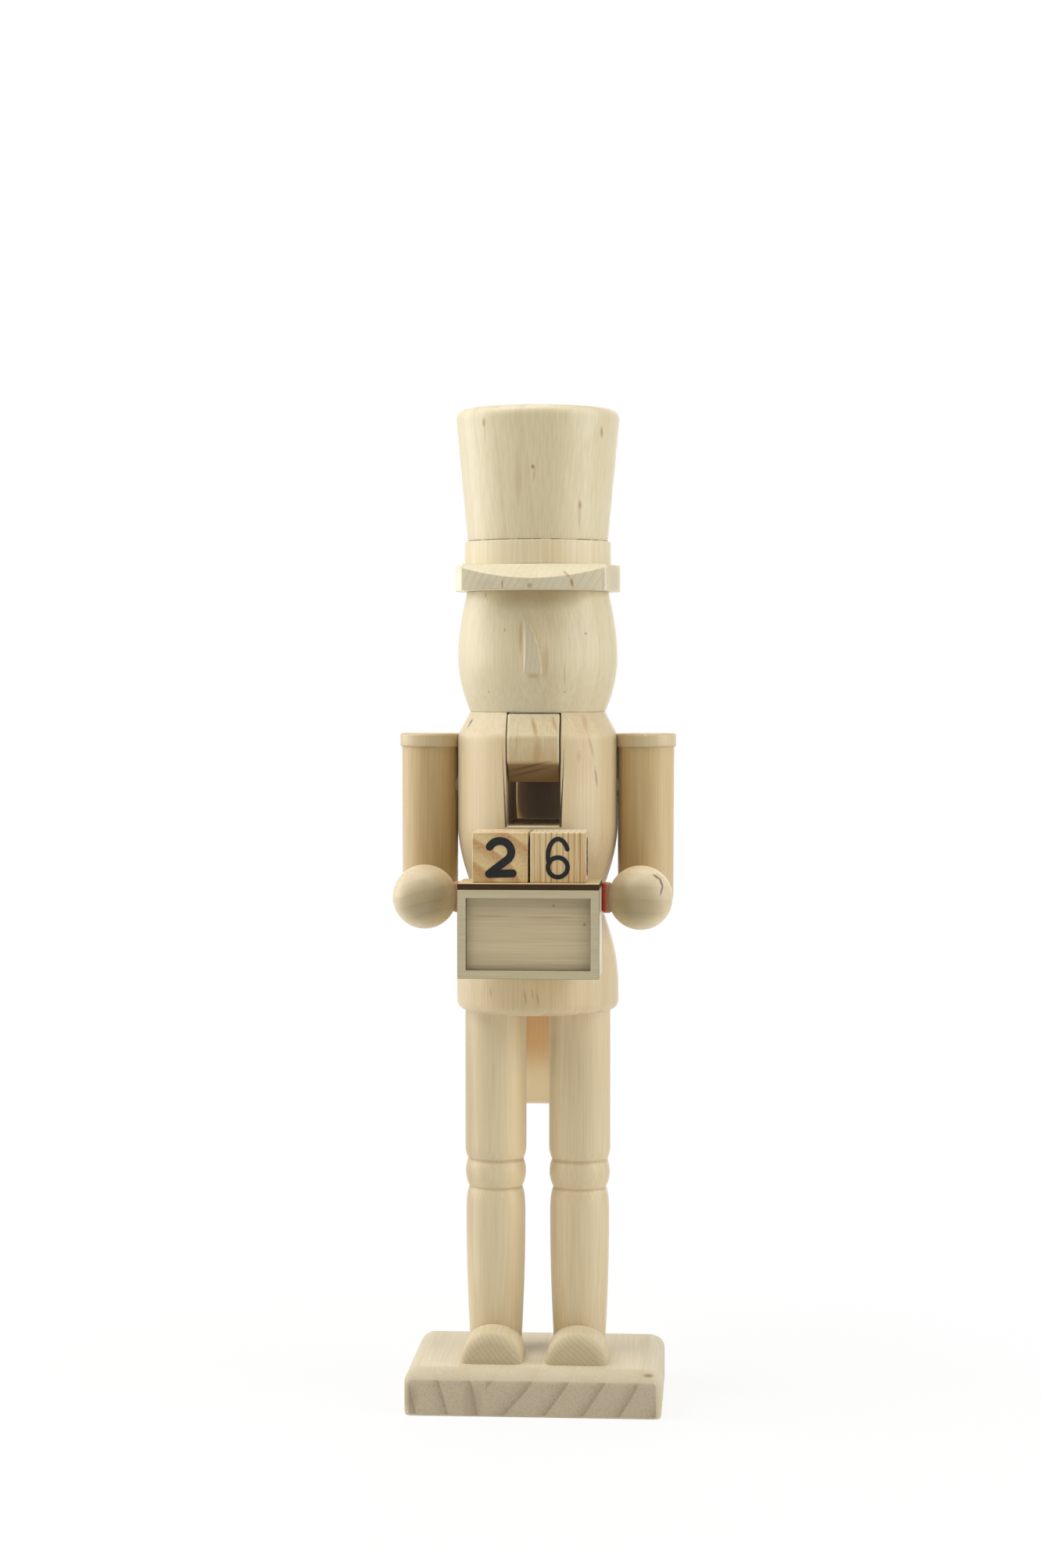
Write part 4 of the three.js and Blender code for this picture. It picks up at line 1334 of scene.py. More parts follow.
# Broad orange arcs on pale yellow
TENS_PINE = PineFinish(
    "sawn pine cube, heartwood",
    early="#ddc58c",
    late="#b68040",
    end="#ddc48c",
    end_late="#a97032",
    grain=Axis.Y,
    pith=(-34.0, 190.0),
    ring=8.5,
    ring_rise=1.6,
    warp=14.0,
    turning=0.0,
)
# Narrow upright orange lines on pale yellow
UNITS_PINE = PineFinish(
    "sawn pine cube, upright rings",
    early="#e2cf9a",
    late="#a8692a",
    end="#d8c798",
    end_late="#a8783e",
    pith=(-70.0, -44.0),
    ring=2.1,
    ring_rise=6.0,
    fibre=0.5,
    warp=1.5,
    ring_strength=1.0,
    turning=0.0,
)
# Nearly black, thin and matt, with faint brush marks, drawn as coarse as they need to show
DIGIT_PAINT = SpeckledFinish(
    "brushed black paint",
    "#121413",
    "#1f2220",
    grain=0.6,
    roughness=0.75,
    bump=0.3,
    specular=0.33,
)
# Matt red with pale cells, drawn as coarse as they need to show, and tan at the hand
RED_FOAM = SpeckledFinish(
    "red foam tape",
    "#d84a30",
    "#e0745e",
    grain=0.5,
    roughness=0.8,
    bump=0.5,
    fade="#c8a07c",
    fade_from=27.0,
    fade_to=28.4,
)


def hand_over(
    piece: bpy.types.Object,
    finish: Finish,
    body: str = "figure",
    node: str | None = None,
) -> None:
    """Dresses a finished piece and ties it to its CAD body.

    Args:
        piece: The finished piece.
        finish: What it is made of.
        body: CAD body that it moves with.
        node: CAD node that it stands for.
    """
    shade(piece)
    piece.data.materials.clear()
    piece.data.materials.append(finish.material())
    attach(piece, body)
    if node:
        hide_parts(node)
    LOG.info("%s rides on %s, %d faces", piece.name, body, len(piece.data.polygons))


# Sub-assemblies


@dataclass
class Stand:
    """Base block, two turned legs and two half-round feet."""

    base_top_ease: float = 6.0
    base_corner_ease: float = 2.5
    base_foot_ease: float = 1.2
    leg_radius: float = 11.8
    knee_height: float = 63.8
    knee_groove: float = 10.15
    bead_height: float = 10.75
    bead_radius: float = 11.6
    thigh_groove: float = 10.65
    thigh_roll: float = 5.0
    calf_drop: float = 9.6
    calf_radius: float = 11.4
    ankle_radius: float = 9.7
    foot_ease: float = 4.0
    coping: float = 0.15

    def build(self) -> None:
        """Makes and dresses all the pieces of the stand."""
        self.make_base()
        for side in Side:
            self.make_leg(side)
            self.make_foot(side)

    def make_base(self) -> None:
        """Makes the base: round top edge first, then the upright corners and the small edge at the floor."""
        box = Box.of("base")
        base = board("base_block", box)
        top, foot = (box.high.z - WELD) * MM, (box.low.z + WELD) * MM
        ease(base, self.base_top_ease, BROAD_EASE, lambda e: all(v.co.z > top for v in e.verts))
        ease(
            base,
            self.base_corner_ease,
            MIDDLE_EASE,
            lambda e: is_sharp(e) and any(v.co.z > foot for v in e.verts),
        )
        ease(base, self.base_foot_ease, SMALL_EASE, lambda e: all(v.co.z < foot for v in e.verts))
        hand_over(base, BASE_PINE, node="base")

    def leg_profile(self, length: float, grown: float = 0.0) -> Profile:
        """Works out the leg's outline.

        Args:
            length: Height of the leg.
            grown: Gap added all round, for cutting a seat.

        Returns:
            The outline from the ankle to the hip.
        """
        knee = self.knee_height
        upper = knee + self.bead_height
        calf = knee - self.calf_drop
        bead_pull = 2 * self.bead_radius - (self.knee_groove + self.thigh_groove) / 2
        profile = Profile(0, 0).line(self.ankle_radius, 0)
        profile.curve((self.calf_radius, calf / 2), (self.calf_radius, calf))
        profile.curve((self.calf_radius, knee - self.calf_drop / 4), (self.knee_groove, knee))
        profile.curve((bead_pull, knee + self.bead_height / 2), (self.thigh_groove, upper))
        profile.curve(
            (self.leg_radius, upper + self.thigh_roll / 2), (self.leg_radius, upper + self.thigh_roll)
        )
        return profile.line(self.leg_radius, length).line(0, length).grow(grown)

    def make_leg(self, side: Side) -> None:
        """Turns one leg.

        Args:
            side: The side that it is on.
        """
        box = Box.of(f"{side}_leg")
        leg = turn(f"turned_{side}_leg", self.leg_profile(box.size.z), box.foot, sides=LIMB_SIDES)
        hand_over(leg, LEG_PINE, node=f"{side}_leg")

    def make_foot(self, side: Side) -> None:
        """Saws one foot, rounds its front edge and copes it to the ankle.

        Args:
            side: The side that it is on.
        """
        box = Box.of(f"{side}_foot")
        leg = Box.of(f"{side}_leg")
        middle = Vector((box.middle.x, box.low.z, 0))
        outline = arc(middle, (box.size.x / 2, box.size.z), 0, HALF_TURN, 2 * CURVE_STEPS)
        front = [Vector((p.x, box.low.y, p.y)) for p in outline]
        foot = saw(f"sawn_{side}_foot", front, Vector((0, box.size.y, 0)))
        face, floor = (box.low.y + WELD) * MM, (box.low.z + WELD) * MM

        def on_front_arc(edge: bmesh.types.BMEdge) -> bool:
            """Picks the front face's edges that aren't at the floor."""
            return all(v.co.y < face for v in edge.verts) and any(v.co.z > floor for v in edge.verts)

        ease(foot, self.foot_ease, BROAD_EASE, on_front_arc)
        seat = self.leg_profile(leg.size.z, self.coping)
        carve(foot, turn("ankle_seat", seat, leg.foot, sides=LIMB_SIDES))
        hand_over(foot, FOOT_PINE, node=f"{side}_foot")


@dataclass
class Torso:
    """Turned body with its mouth slot, and the pin that the jaw turns on."""

    skirt_height: float = 41.9
    skirt_radius: float = 31.1
    hem_ease: float = 4.0
    skirt_roll: float = 32.6
    skirt_tail: float = 17.3
    waist_radius: float = 23.3
    chest_radius: float = 30.7
    chest_roll: float = 29.4
    chest_tail: float = 16.6
    shoulder_chamfer: float = 8.9
    shoulder_ease: float = 1.6
    neck_radius: float = 25.9
    slot_width: float = 20.5
    slot_depth: float = 42.5
    slot_ease: float = 0.45
    pin_radius: float = 2.5
    pin_gap: float = 0.12
    pin_ease: float = 0.5

    def build(self) -> None:
        """Makes and dresses the torso and the pin."""
        self.make_torso()
        self.make_pin()

    def profile(self, height: float, grown: float = 0.0) -> Profile:
        """Works out the torso's outline.

        Args:
            height: Height of the torso.
            grown: Gap added all round, for cutting a seat.

        Returns:
            The outline from the hem to the neck.
        """
        straight = self.skirt_height - self.skirt_roll
        shoulder = height - self.shoulder_chamfer
        slope = (self.chest_radius - self.neck_radius) / self.shoulder_chamfer
        profile = Profile(0, 0).line(self.skirt_radius - self.hem_ease, 0)
        profile.curve((self.skirt_radius, 0), (self.skirt_radius, self.hem_ease))
        profile.line(self.skirt_radius, straight)
        profile.curve(
            (self.skirt_radius, self.skirt_height - self.skirt_tail), (self.waist_radius, self.skirt_height)
        )
        profile.curve(
            (self.chest_radius, self.skirt_height + self.chest_tail),
            (self.chest_radius, self.skirt_height + self.chest_roll),
        )
        profile.line(self.chest_radius, shoulder - self.shoulder_ease)
        profile.curve(
            (self.chest_radius, shoulder),
            (self.chest_radius - slope * self.shoulder_ease, shoulder + self.shoulder_ease),
            ROUND_STEPS,
        )
        return profile.line(self.neck_radius, height).line(0, height).grow(grown)

    def make_torso(self) -> None:
        """Turns the torso, then cuts the mouth slot and the bore of the pin."""
        box = Box.of("torso")
        pin = Box.of("pivot_pin")
        torso = turn("turned_torso", self.profile(box.size.z), Vector((0, 0, box.low.z)))
        reach = 2 * self.skirt_radius
        slot_floor = box.high.z - self.slot_depth
        slot = board(
            "slot_cutter",
            Box(
                Vector((-self.slot_width / 2, -reach, slot_floor)),
                Vector((self.slot_width / 2, reach, box.high.z + self.slot_depth)),
            ),
        )
        hole = Profile(0, -reach).line(self.pin_radius + self.pin_gap, -reach)
        hole.line(self.pin_radius + self.pin_gap, reach).line(0, reach)
        bore = turn("bore_cutter", hole, Vector((0, pin.middle.y, pin.middle.z)), Axis.X, PIN_SIDES)
        carve(torso, slot, bore)
        near = WELD * MM
        wall = self.slot_width / 2 * MM

        def on_slot_rim(edge: bmesh.types.BMEdge) -> bool:
            """Picks the slot's edges on the torso's outside.

            Args:
                edge: An edge of the torso.

            Returns:
                Whether it is on the slot's rim.
            """
            on_wall = all(abs(abs(v.co.x) - wall) < near for v in edge.verts)
            on_floor = all(abs(v.co.z - slot_floor * MM) < near for v in edge.verts)
            outside = all(math.hypot(v.co.x, v.co.y) > self.neck_radius * MM - near for v in edge.verts)
            return (on_wall or on_floor) and outside and is_sharp(edge)

        ease(torso, self.slot_ease, SMALL_EASE, on_slot_rim, clamp=False)
        hand_over(torso, BODY_PINE, node="torso")

    def make_pin(self) -> None:
        """Turns the pivot pin, with eased ends."""
        box = Box.of("pivot_pin")
        half = box.size.x / 2
        profile = Profile.rod(self.pin_radius, -half, half, self.pin_ease)
        pin = turn("turned_pivot_pin", profile, box.middle, Axis.X, PIN_SIDES)
        hand_over(pin, DOWEL_BIRCH, node="pivot_pin")


@dataclass
class JawLever:
    """One board that is the jaw in front and the handle behind."""

    ridge_drop: float = 8.7
    top_setback: float = 4.7
    chin_drop: float = 17.8
    chin_setback: float = 1.0
    chin_slant: float = 8.0
    low_point: float = 25.8
    handle_thickness: float = 11.0
    handle_ease: float = 4.0
    back_slope: float = math.radians(27)
    handle_flare: float = 0.85
    flare_length: float = 1.4
    edge_ease: float = 0.7

    def build(self) -> None:
        """Saws the lever's outline, eases its edges and dresses it."""
        box = Box.of("jaw_lever")
        pin = Box.of("pivot_pin")
        top, end, ended = box.high.z, box.low.z, self.handle_ease
        ridge_y, back = box.low.y, box.high.y
        front = back - self.handle_thickness
        middle = (front + back) / 2
        bottom = top - self.low_point
        slope = math.tan(self.back_slope)
        corner = top - (back - pin.middle.y) * slope
        side_view = Profile(ridge_y + self.top_setback, top).line(ridge_y, top - self.ridge_drop)
        side_view.line(ridge_y + self.chin_setback, top - self.chin_drop)
        side_view.line(ridge_y + self.chin_setback + self.chin_slant, bottom)
        side_view.line(front, bottom).line(front, end + ended)
        side_view.curve((front, end), (front + ended, end), ROUND_STEPS)
        side_view.line(back - ended, end)
        side_view.curve((back, end), (back, end + ended), ROUND_STEPS)
        side_view.line(back, corner - self.handle_thickness / 2)
        side_view.curve((back, corner), (middle, top - (middle - pin.middle.y) * slope), ROUND_STEPS)
        side_view.line(pin.middle.y, top)
        outline = [Vector((box.low.x, y, z)) for y, z in side_view.points]
        lever = saw("sawn_jaw_lever", outline, Vector((box.size.x, 0, 0)))
        self.widen(lever, front, 1 + 2 * self.handle_flare / box.size.x)
        ease(lever, self.edge_ease)
        hand_over(lever, LEVER_PINE, body="jaw", node="jaw_lever")

    def widen(self, lever: bpy.types.Object, front: float, times: float) -> None:
        """Widens the handle behind the torso, so that it covers the slot.

        Args:
            lever: The sawn lever.
            front: Y of the handle's front face.
            times: How many times wider the handle is.
        """
        take_up(lever)
        bpy.ops.object.mode_set(mode="EDIT")
        bpy.ops.mesh.select_mode(type="VERT")
        bpy.ops.mesh.select_all(action="SELECT")
        start = Vector((0, front - self.flare_length, 0))
        bpy.ops.mesh.bisect(plane_co=start * MM, plane_no=Axis.Y.unit())
        bpy.ops.mesh.select_all(action="DESELECT")
        mesh = bmesh.from_edit_mesh(lever.data)
        for vertex in mesh.verts:
            vertex.select_set(vertex.co.y > (front - WELD) * MM)
        bmesh.update_edit_mesh(lever.data)
        bpy.ops.transform.resize(value=(times, 1, 1), center_override=(0, 0, 0))
        bpy.ops.object.mode_set(mode="OBJECT")


@dataclass
class HeadAndHat:
    """Barrel-shaped head with its nose, and the hat's brim, band and crown."""

    head_radius: float = 30.7
    head_bottom: float = 25.9
    head_top: float = 27.1
    cheek_height: float = 21.1
    cheek_roll: float = 9.7
    rim_ease: float = 0.4
    nose_top_width: float = 1.2
    nose_top_back: float = 3.0
    nose_seat: float = 29.6
    nose_ease: float = 0.35
    visor_width: float = 53.8
    visor_setback: float = 7.0
    visor_drop: float = 5.5
    visor_length: float = 9.4
    brim_radius: float = 31.7
    brim_ease: float = 0.4
    band_radius: float = 28.1
    crown_bottom: float = 26.9
    crown_top: float = 31.6
    crown_ease: float = 4.5

    def build(self) -> None:
        """Makes and dresses the head, the nose and the hat."""
        self.make_head()
        self.make_nose()
        self.make_brim()
        self.make_band()
        self.make_crown()

    def make_head(self) -> None:
        """Turns the head."""
        box = Box.of("head")
        high, cheek, small = box.size.z, self.cheek_height, self.rim_ease
        profile = Profile(0, 0).line(self.head_bottom - small, 0)
        profile.curve((self.head_bottom, 0), (self.head_bottom + small / 2, small), ROUND_STEPS)
        long_curve = 2 * CURVE_STEPS
        profile.curve((self.head_radius, cheek - self.cheek_roll), (self.head_radius, cheek), long_curve)
        brow = (self.head_top + small / 4, high - small)
        profile.curve((self.head_radius, cheek + self.cheek_roll), brow, long_curve)
        profile.curve((self.head_top, high), (self.head_top - small, high), ROUND_STEPS).line(0, high)
        head = turn("turned_head", profile, Vector((0, 0, box.low.z)))
        hand_over(head, HEAD_PINE, node="head")

    def make_nose(self) -> None:
        """Saws the nose, straight on its left and rounded on its right, and planes its front to a slope."""
        box = Box.of("nose")
        left, right, low, top = box.low.x, box.high.x, box.low.z, box.high.z
        face = Profile(left, low).line(right, low)
        face.curve((right, box.middle.z), (left + self.nose_top_width, top)).line(left, top)
        outline = [Vector((x, -self.nose_seat, z)) for x, z in face.points]
        nose = saw("sawn_nose", outline, Vector((0, box.low.y + self.nose_seat, 0)))
        tip = Vector((0, box.low.y, low))
        plane_off(nose, tip, Vector((0, -box.size.z, self.nose_top_back)))
        ease(nose, self.nose_ease, FINE_EASE)
        hand_over(nose, NOSE_PINE, node="nose")

    def make_brim(self) -> None:
        """Saws the brim's disc and visor in one, then planes the visor down to the front."""
        box = Box.of("hat_brim")
        half, low = self.visor_width / 2, box.low.z
        side_front = box.low.y + self.visor_setback
        turn_in = math.degrees(math.acos(half / self.brim_radius))
        pull = (0, box.low.y - self.visor_setback)
        front = Profile(-half, side_front).curve(pull, (half, side_front), BODY_SIDES // 2)
        outline = [Vector((half, side_front, low))]
        outline += arc(
            Vector((0, 0, low)), (self.brim_radius,) * 2, -turn_in, HALF_TURN + turn_in, BODY_SIDES
        )
        outline += [Vector((x, y, low)) for x, y in front.points[:-1]]
        brim = saw("sawn_hat_brim", outline, Vector((0, 0, box.size.z)))
        start = Vector((0, -self.band_radius, box.high.z))
        plane_off(brim, start, Vector((0, -self.visor_drop, self.visor_length)))
        ease(brim, self.brim_ease, FINE_EASE)
        hand_over(brim, BRIM_PINE, node="hat_brim")

    def make_band(self) -> None:
        """Turns the hat's band."""
        box = Box.of("hat_band")
        profile = Profile.rod(self.band_radius, 0, box.size.z, self.rim_ease)
        band = turn("turned_hat_band", profile, Vector((0, 0, box.low.z)))
        hand_over(band, BAND_PINE, node="hat_band")

    def make_crown(self) -> None:
        """Turns the crown, which widens to its round top edge."""
        box = Box.of("hat_crown")
        high, ended, small = box.size.z, self.crown_ease, self.rim_ease
        lean = (self.crown_top - self.crown_bottom) / high
        profile = Profile(0, 0).line(self.crown_bottom - small, 0)
        profile.curve((self.crown_bottom, 0), (self.crown_bottom + lean * small, small), ROUND_STEPS)
        profile.line(self.crown_top - lean * ended, high - ended)
        profile.curve((self.crown_top, high), (self.crown_top - ended, high)).line(0, high)
        crown = turn("turned_hat_crown", profile, Vector((0, 0, box.low.z)))
        hand_over(crown, HAT_PINE, node="hat_crown")


@dataclass
class Arms:
    """Turned arms with a rim at the shoulder, forearms, ball hands and the red pads at the sign."""

    torso: Torso
    body_gap: float = 0.02
    top_radius: float = 10.85
    end_radius: float = 10.65
    rim_radius: float = 11.6
    end_ease: float = 8.0
    rim_height: float = 5.3
    rim_ease: float = 1.2
    forearm_radius: float = 7.0
    seat_radius: float = 6.8
    pad_ease: float = 1.2
    pad_fill: float = 0.9

    def build(self) -> None:
        """Makes and dresses both arms."""
        for side in Side:
            self.make_arm(side)
            self.make_forearm(side)
            self.make_hand(side)
            self.make_pad(side)

    def make_arm(self, side: Side) -> None:
        """Turns one arm and copes its rim to the chest.

        Args:
            side: The side that it is on.
        """
        box = Box.of(f"{side}_arm")
        chest = Box.of("torso")
        high, ended, small, rim = box.size.z, self.end_ease, self.rim_ease, self.rim_radius
        rim_bottom = high - self.rim_height
        profile = Profile(0, 0).line(self.end_radius - ended, 0)
        profile.curve((self.end_radius, 0), (self.end_radius, ended))
        profile.line(self.top_radius, rim_bottom)
        profile.curve((rim, rim_bottom), (rim, rim_bottom + small), ROUND_STEPS).line(rim, high - small)
        profile.curve((rim, high), (rim - small, high), ROUND_STEPS).line(0, high)
        axis_x = box.low.x + rim if side is Side.LEFT else box.high.x - rim
        arm = turn(f"turned_{side}_arm", profile, Vector((axis_x, 0, box.low.z)), sides=LIMB_SIDES)
        seat = self.torso.profile(chest.size.z, self.body_gap)
        carve(arm, turn("chest_cutter", seat, Vector((0, 0, chest.low.z))))
        hand_over(arm, ARM_PINE, node=f"{side}_arm")

    def make_forearm(self, side: Side) -> None:
        """Turns one forearm, whose ends sit in the arm and the hand.

        Args:
            side: The side that it is on.
        """
        box = Box.of(f"{side}_forearm")
        radius, length = self.forearm_radius, box.size.y
        profile = Profile(0, 0).line(radius, 0).line(radius, length).line(0, length)
        foot = Vector((box.middle.x, box.low.y, box.middle.z))
        forearm = turn(f"turned_{side}_forearm", profile, foot, Axis.Y, LIMB_SIDES)
        hand_over(forearm, ARM_PINE, node=f"{side}_forearm")

    def make_hand(self, side: Side) -> None:
        """Turns one ball hand, with a flat seat for the forearm.

        Args:
            side: The side that it is on.
        """
        box = Box.of(f"{side}_hand")
        radius = box.size.z / 2
        quarter = HALF_TURN / 2
        seat = quarter - math.degrees(math.asin(self.seat_radius / radius))
        half_circle = arc(Vector((0, 0, 0)), (radius, radius), -quarter, seat, 3 * CURVE_STEPS)
        profile = Profile(0, -radius)
        for point in half_circle[1:]:
            profile.line(point.x, point.y)
        profile.line(0, profile.points[-1][1])
        hand = turn(f"turned_{side}_hand", profile, box.middle, Axis.Y, LIMB_SIDES)
        hand_over(hand, HAND_PINE, node=f"{side}_hand")

    def make_pad(self, side: Side) -> None:
        """Cuts one foam pad and presses the hand's round hollow into it.

        Args:
            side: The side that it is on.
        """
        hand = Box.of(f"{side}_hand")
        pad = board(f"foam_{side}_pad", Box.of(f"{side}_pad"))
        ease(pad, self.pad_ease, MIDDLE_EASE)
        deselect_all()
        bpy.ops.mesh.primitive_uv_sphere_add(
            segments=LIMB_SIDES,
            ring_count=LIMB_SIDES // 2,
            radius=hand.size.z / 2 * MM,
            location=hand.middle * MM,
        )
        carve(pad, just_added("hand_cutter"))
        hand_over(pad, RED_FOAM, node=f"{side}_pad")


@dataclass
class SignBox:
    """Sign box: stained frame, bare recessed panel, boards behind and a shelf with charred edges."""

    border: float = 3.2
    edge_ease: float = 0.25
    board_ease: float = 0.2

    def build(self) -> None:
        """Makes and dresses the sign box."""
        self.make_frame()
        for node, finish, slot in (
            ("sign_panel", PANEL_PLY, "panel_ply"),
            ("sign_back", PANEL_PLY, "panel_ply"),
            ("sign_floor", PANEL_PLY, "panel_ply"),
            ("sign_left_side", SIDE_PLY, "frame_ply"),
            ("sign_right_side", SIDE_PLY, "frame_ply"),
            ("sign_shelf", SHELF_PLY, "burnt_ply"),
        ):
            plank = board(f"{node}_board", Box.of(node))
            ease(plank, self.board_ease, FINE_EASE)
            hand_over(plank, finish, node=node)

    def make_frame(self) -> None:
        """Cuts the window out of the frame's board and eases its edges."""
        box = Box.of("sign_frame")
        plank = board("sign_frame_board", box)
        inset = Vector((self.border, -box.size.y, self.border))
        window = board("window_cutter", Box(box.low + inset, box.high - inset))
        carve(plank, window)
        ease(plank, self.edge_ease, FINE_EASE)
        hand_over(plank, FRAME_PLY, node="sign_frame")


class Face(Enum):
    """A block's painted faces, as outward, rightward and upward directions."""

    FRONT = ((0, -1, 0), (1, 0, 0), (0, 0, 1))
    RIGHT = ((1, 0, 0), (0, 1, 0), (0, 0, 1))
    BACK = ((0, 1, 0), (-1, 0, 0), (0, 0, 1))
    LEFT = ((-1, 0, 0), (0, -1, 0), (0, 0, 1))


@dataclass
class NumberBlock:
    """A loose wooden cube with a plain brushed digit on each upright face."""

    node: str
    body: str
    slot: str
    finish: PineFinish
    digits: dict[Face, int]
    stroke: float
    ease_width: float = 0.6
    film: float = 0.12
    sunk: float = 0.03
    step: float = 0.01

    def build(self) -> None:
        """Makes and dresses the cube and its digits."""
        box = Box.of(self.node)
        cube = board(f"cube_{self.node}", box)
        ease(cube, self.ease_width, MIDDLE_EASE)
        hand_over(cube, self.finish, self.body, self.node)
        strokes = []
        for face, digit in self.digits.items():
            for order, path in enumerate(digit_strokes(digit)):
                strokes.append(self.paint(box, face, path, order))
        deselect_all()
        for stroke in strokes:
            stroke.select_set(True)
        bpy.context.view_layer.objects.active = strokes[0]
        bpy.ops.object.join()
        paint = just_added(f"digits_{self.node}")
        hand_over(paint, DIGIT_PAINT, self.body)

    def paint(self, box: Box, face: Face, path: Sequence[Vector], order: int) -> bpy.types.Object:
        """Lays one stroke of paint on a face.

        Args:
            box: The cube's box.
            face: The face that is painted.
            path: The stroke's middle line, right and up on the face.
            order: Number of the stroke, because each later one lies a hair higher.

        Returns:
            The stroke as a thin film.
        """
        outward, right, up = (Vector(v) for v in face.value)
        surface = box.middle + outward * (box.size.x / 2 - self.sunk)
        outline = [surface + right * p.x + up * p.y for p in ribbon(path, self.stroke)]
        return saw("stroke", outline, outward * (self.film + self.step * order))


def ribbon(path: Sequence[Vector], width: float) -> list[Vector]:
    """Outline of a brush stroke with round ends.

    Args:
        path: The stroke's middle line in the XY plane.
        width: Width of the brush.

    Returns:
        The closed outline, without its first point repeated.
    """
    half = width / 2
    left, right = [], []
    for i, point in enumerate(path):
        ahead = (path[min(i + 1, len(path) - 1)] - path[max(i - 1, 0)]).normalized()
        across = Vector((-ahead.y, ahead.x, 0)) * half
        left.append(point + across)
        right.append(point - across)
    caps = []
    for end, start in ((path[-1], left[-1]), (path[0], right[0])):
        spoke = start - end
        angles = [-math.pi * step / CAP_STEPS for step in range(1, CAP_STEPS)]
        caps.append([end + Matrix.Rotation(angle, 3, "Z") @ spoke for angle in angles])
    return left + caps[0] + right[::-1] + caps[1]


def oval(x: float, y: float, reach: tuple[float, float]) -> list[list[Vector]]:
    """Two half strokes that close to an oval.

    Args:
        x: Middle of the oval, to the right.
        y: Middle of the oval, upwards.
        reach: Half widths to the right and upwards.

    Returns:
        The left stroke and the right one.
    """
    quarter = HALF_TURN / 2
    return [arc(Vector((x, y, 0)), reach, start, start + HALF_TURN) for start in (quarter, -quarter)]


def digit_strokes(digit: int) -> list[list[Vector]]:
    """Middle lines of a plain hand-painted digit, 12 to 13 mm high, centred on the origin.

    Args:
        digit: One of 0, 1, 2, 3, 6, 8 and 9.

    Returns:
        The strokes, each a list of points right and up on the face.
    """
    if digit == 9:
        return [[-point for point in path] for path in digit_strokes(6)]
    shapes = {
        0: oval(0, 0, (3.7, 6.3)),
        1: [[Vector((-2.2, 4.0, 0)), Vector((0.4, 6.3, 0))], [Vector((0.4, 6.3, 0)), Vector((0.4, -6.3, 0))]],
        2: [
            arc(Vector((0, 2.1, 0)), (4.2, 4.0), 152, -38) + [Vector((-4.0, -6.0, 0))],
            [Vector((-4.0, -6.0, 0)), Vector((4.7, -5.8, 0))],
        ],
        3: [arc(Vector((0, 3.2, 0)), (3.4, 3.1), 150, -90), arc(Vector((0, -3.0, 0)), (3.8, 3.1), 90, -150)],
        6: [arc(Vector((0.1, 0.6, 0)), (3.7, 6.3), 24, 196), *oval(0, -3.5, (3.6, 3.6))],
        8: [*oval(0, 3.2, (2.9, 3.0)), *oval(0, -3.2, (3.6, 3.4))],
    }
    return shapes[digit]


def dress_dowels() -> None:
    """Gives the hidden dowels, which stay as CAD made them, their birch."""
    for name, node in frame["nodes"].items():
        if name.endswith("_dowel"):
            node.data.materials.clear()
            node.data.materials.append(DOWEL_BIRCH.material())
            LOG.info("%s keeps its CAD shape", name)


# Studio

WHITE = linear("#ffffff")


@dataclass(frozen=True)
class SoftBox:
    """A studio lamp with a broad white face, aimed at the figure."""

    name: str
    place: tuple[float, float, float]
    width: float
    height: float
    watts: float


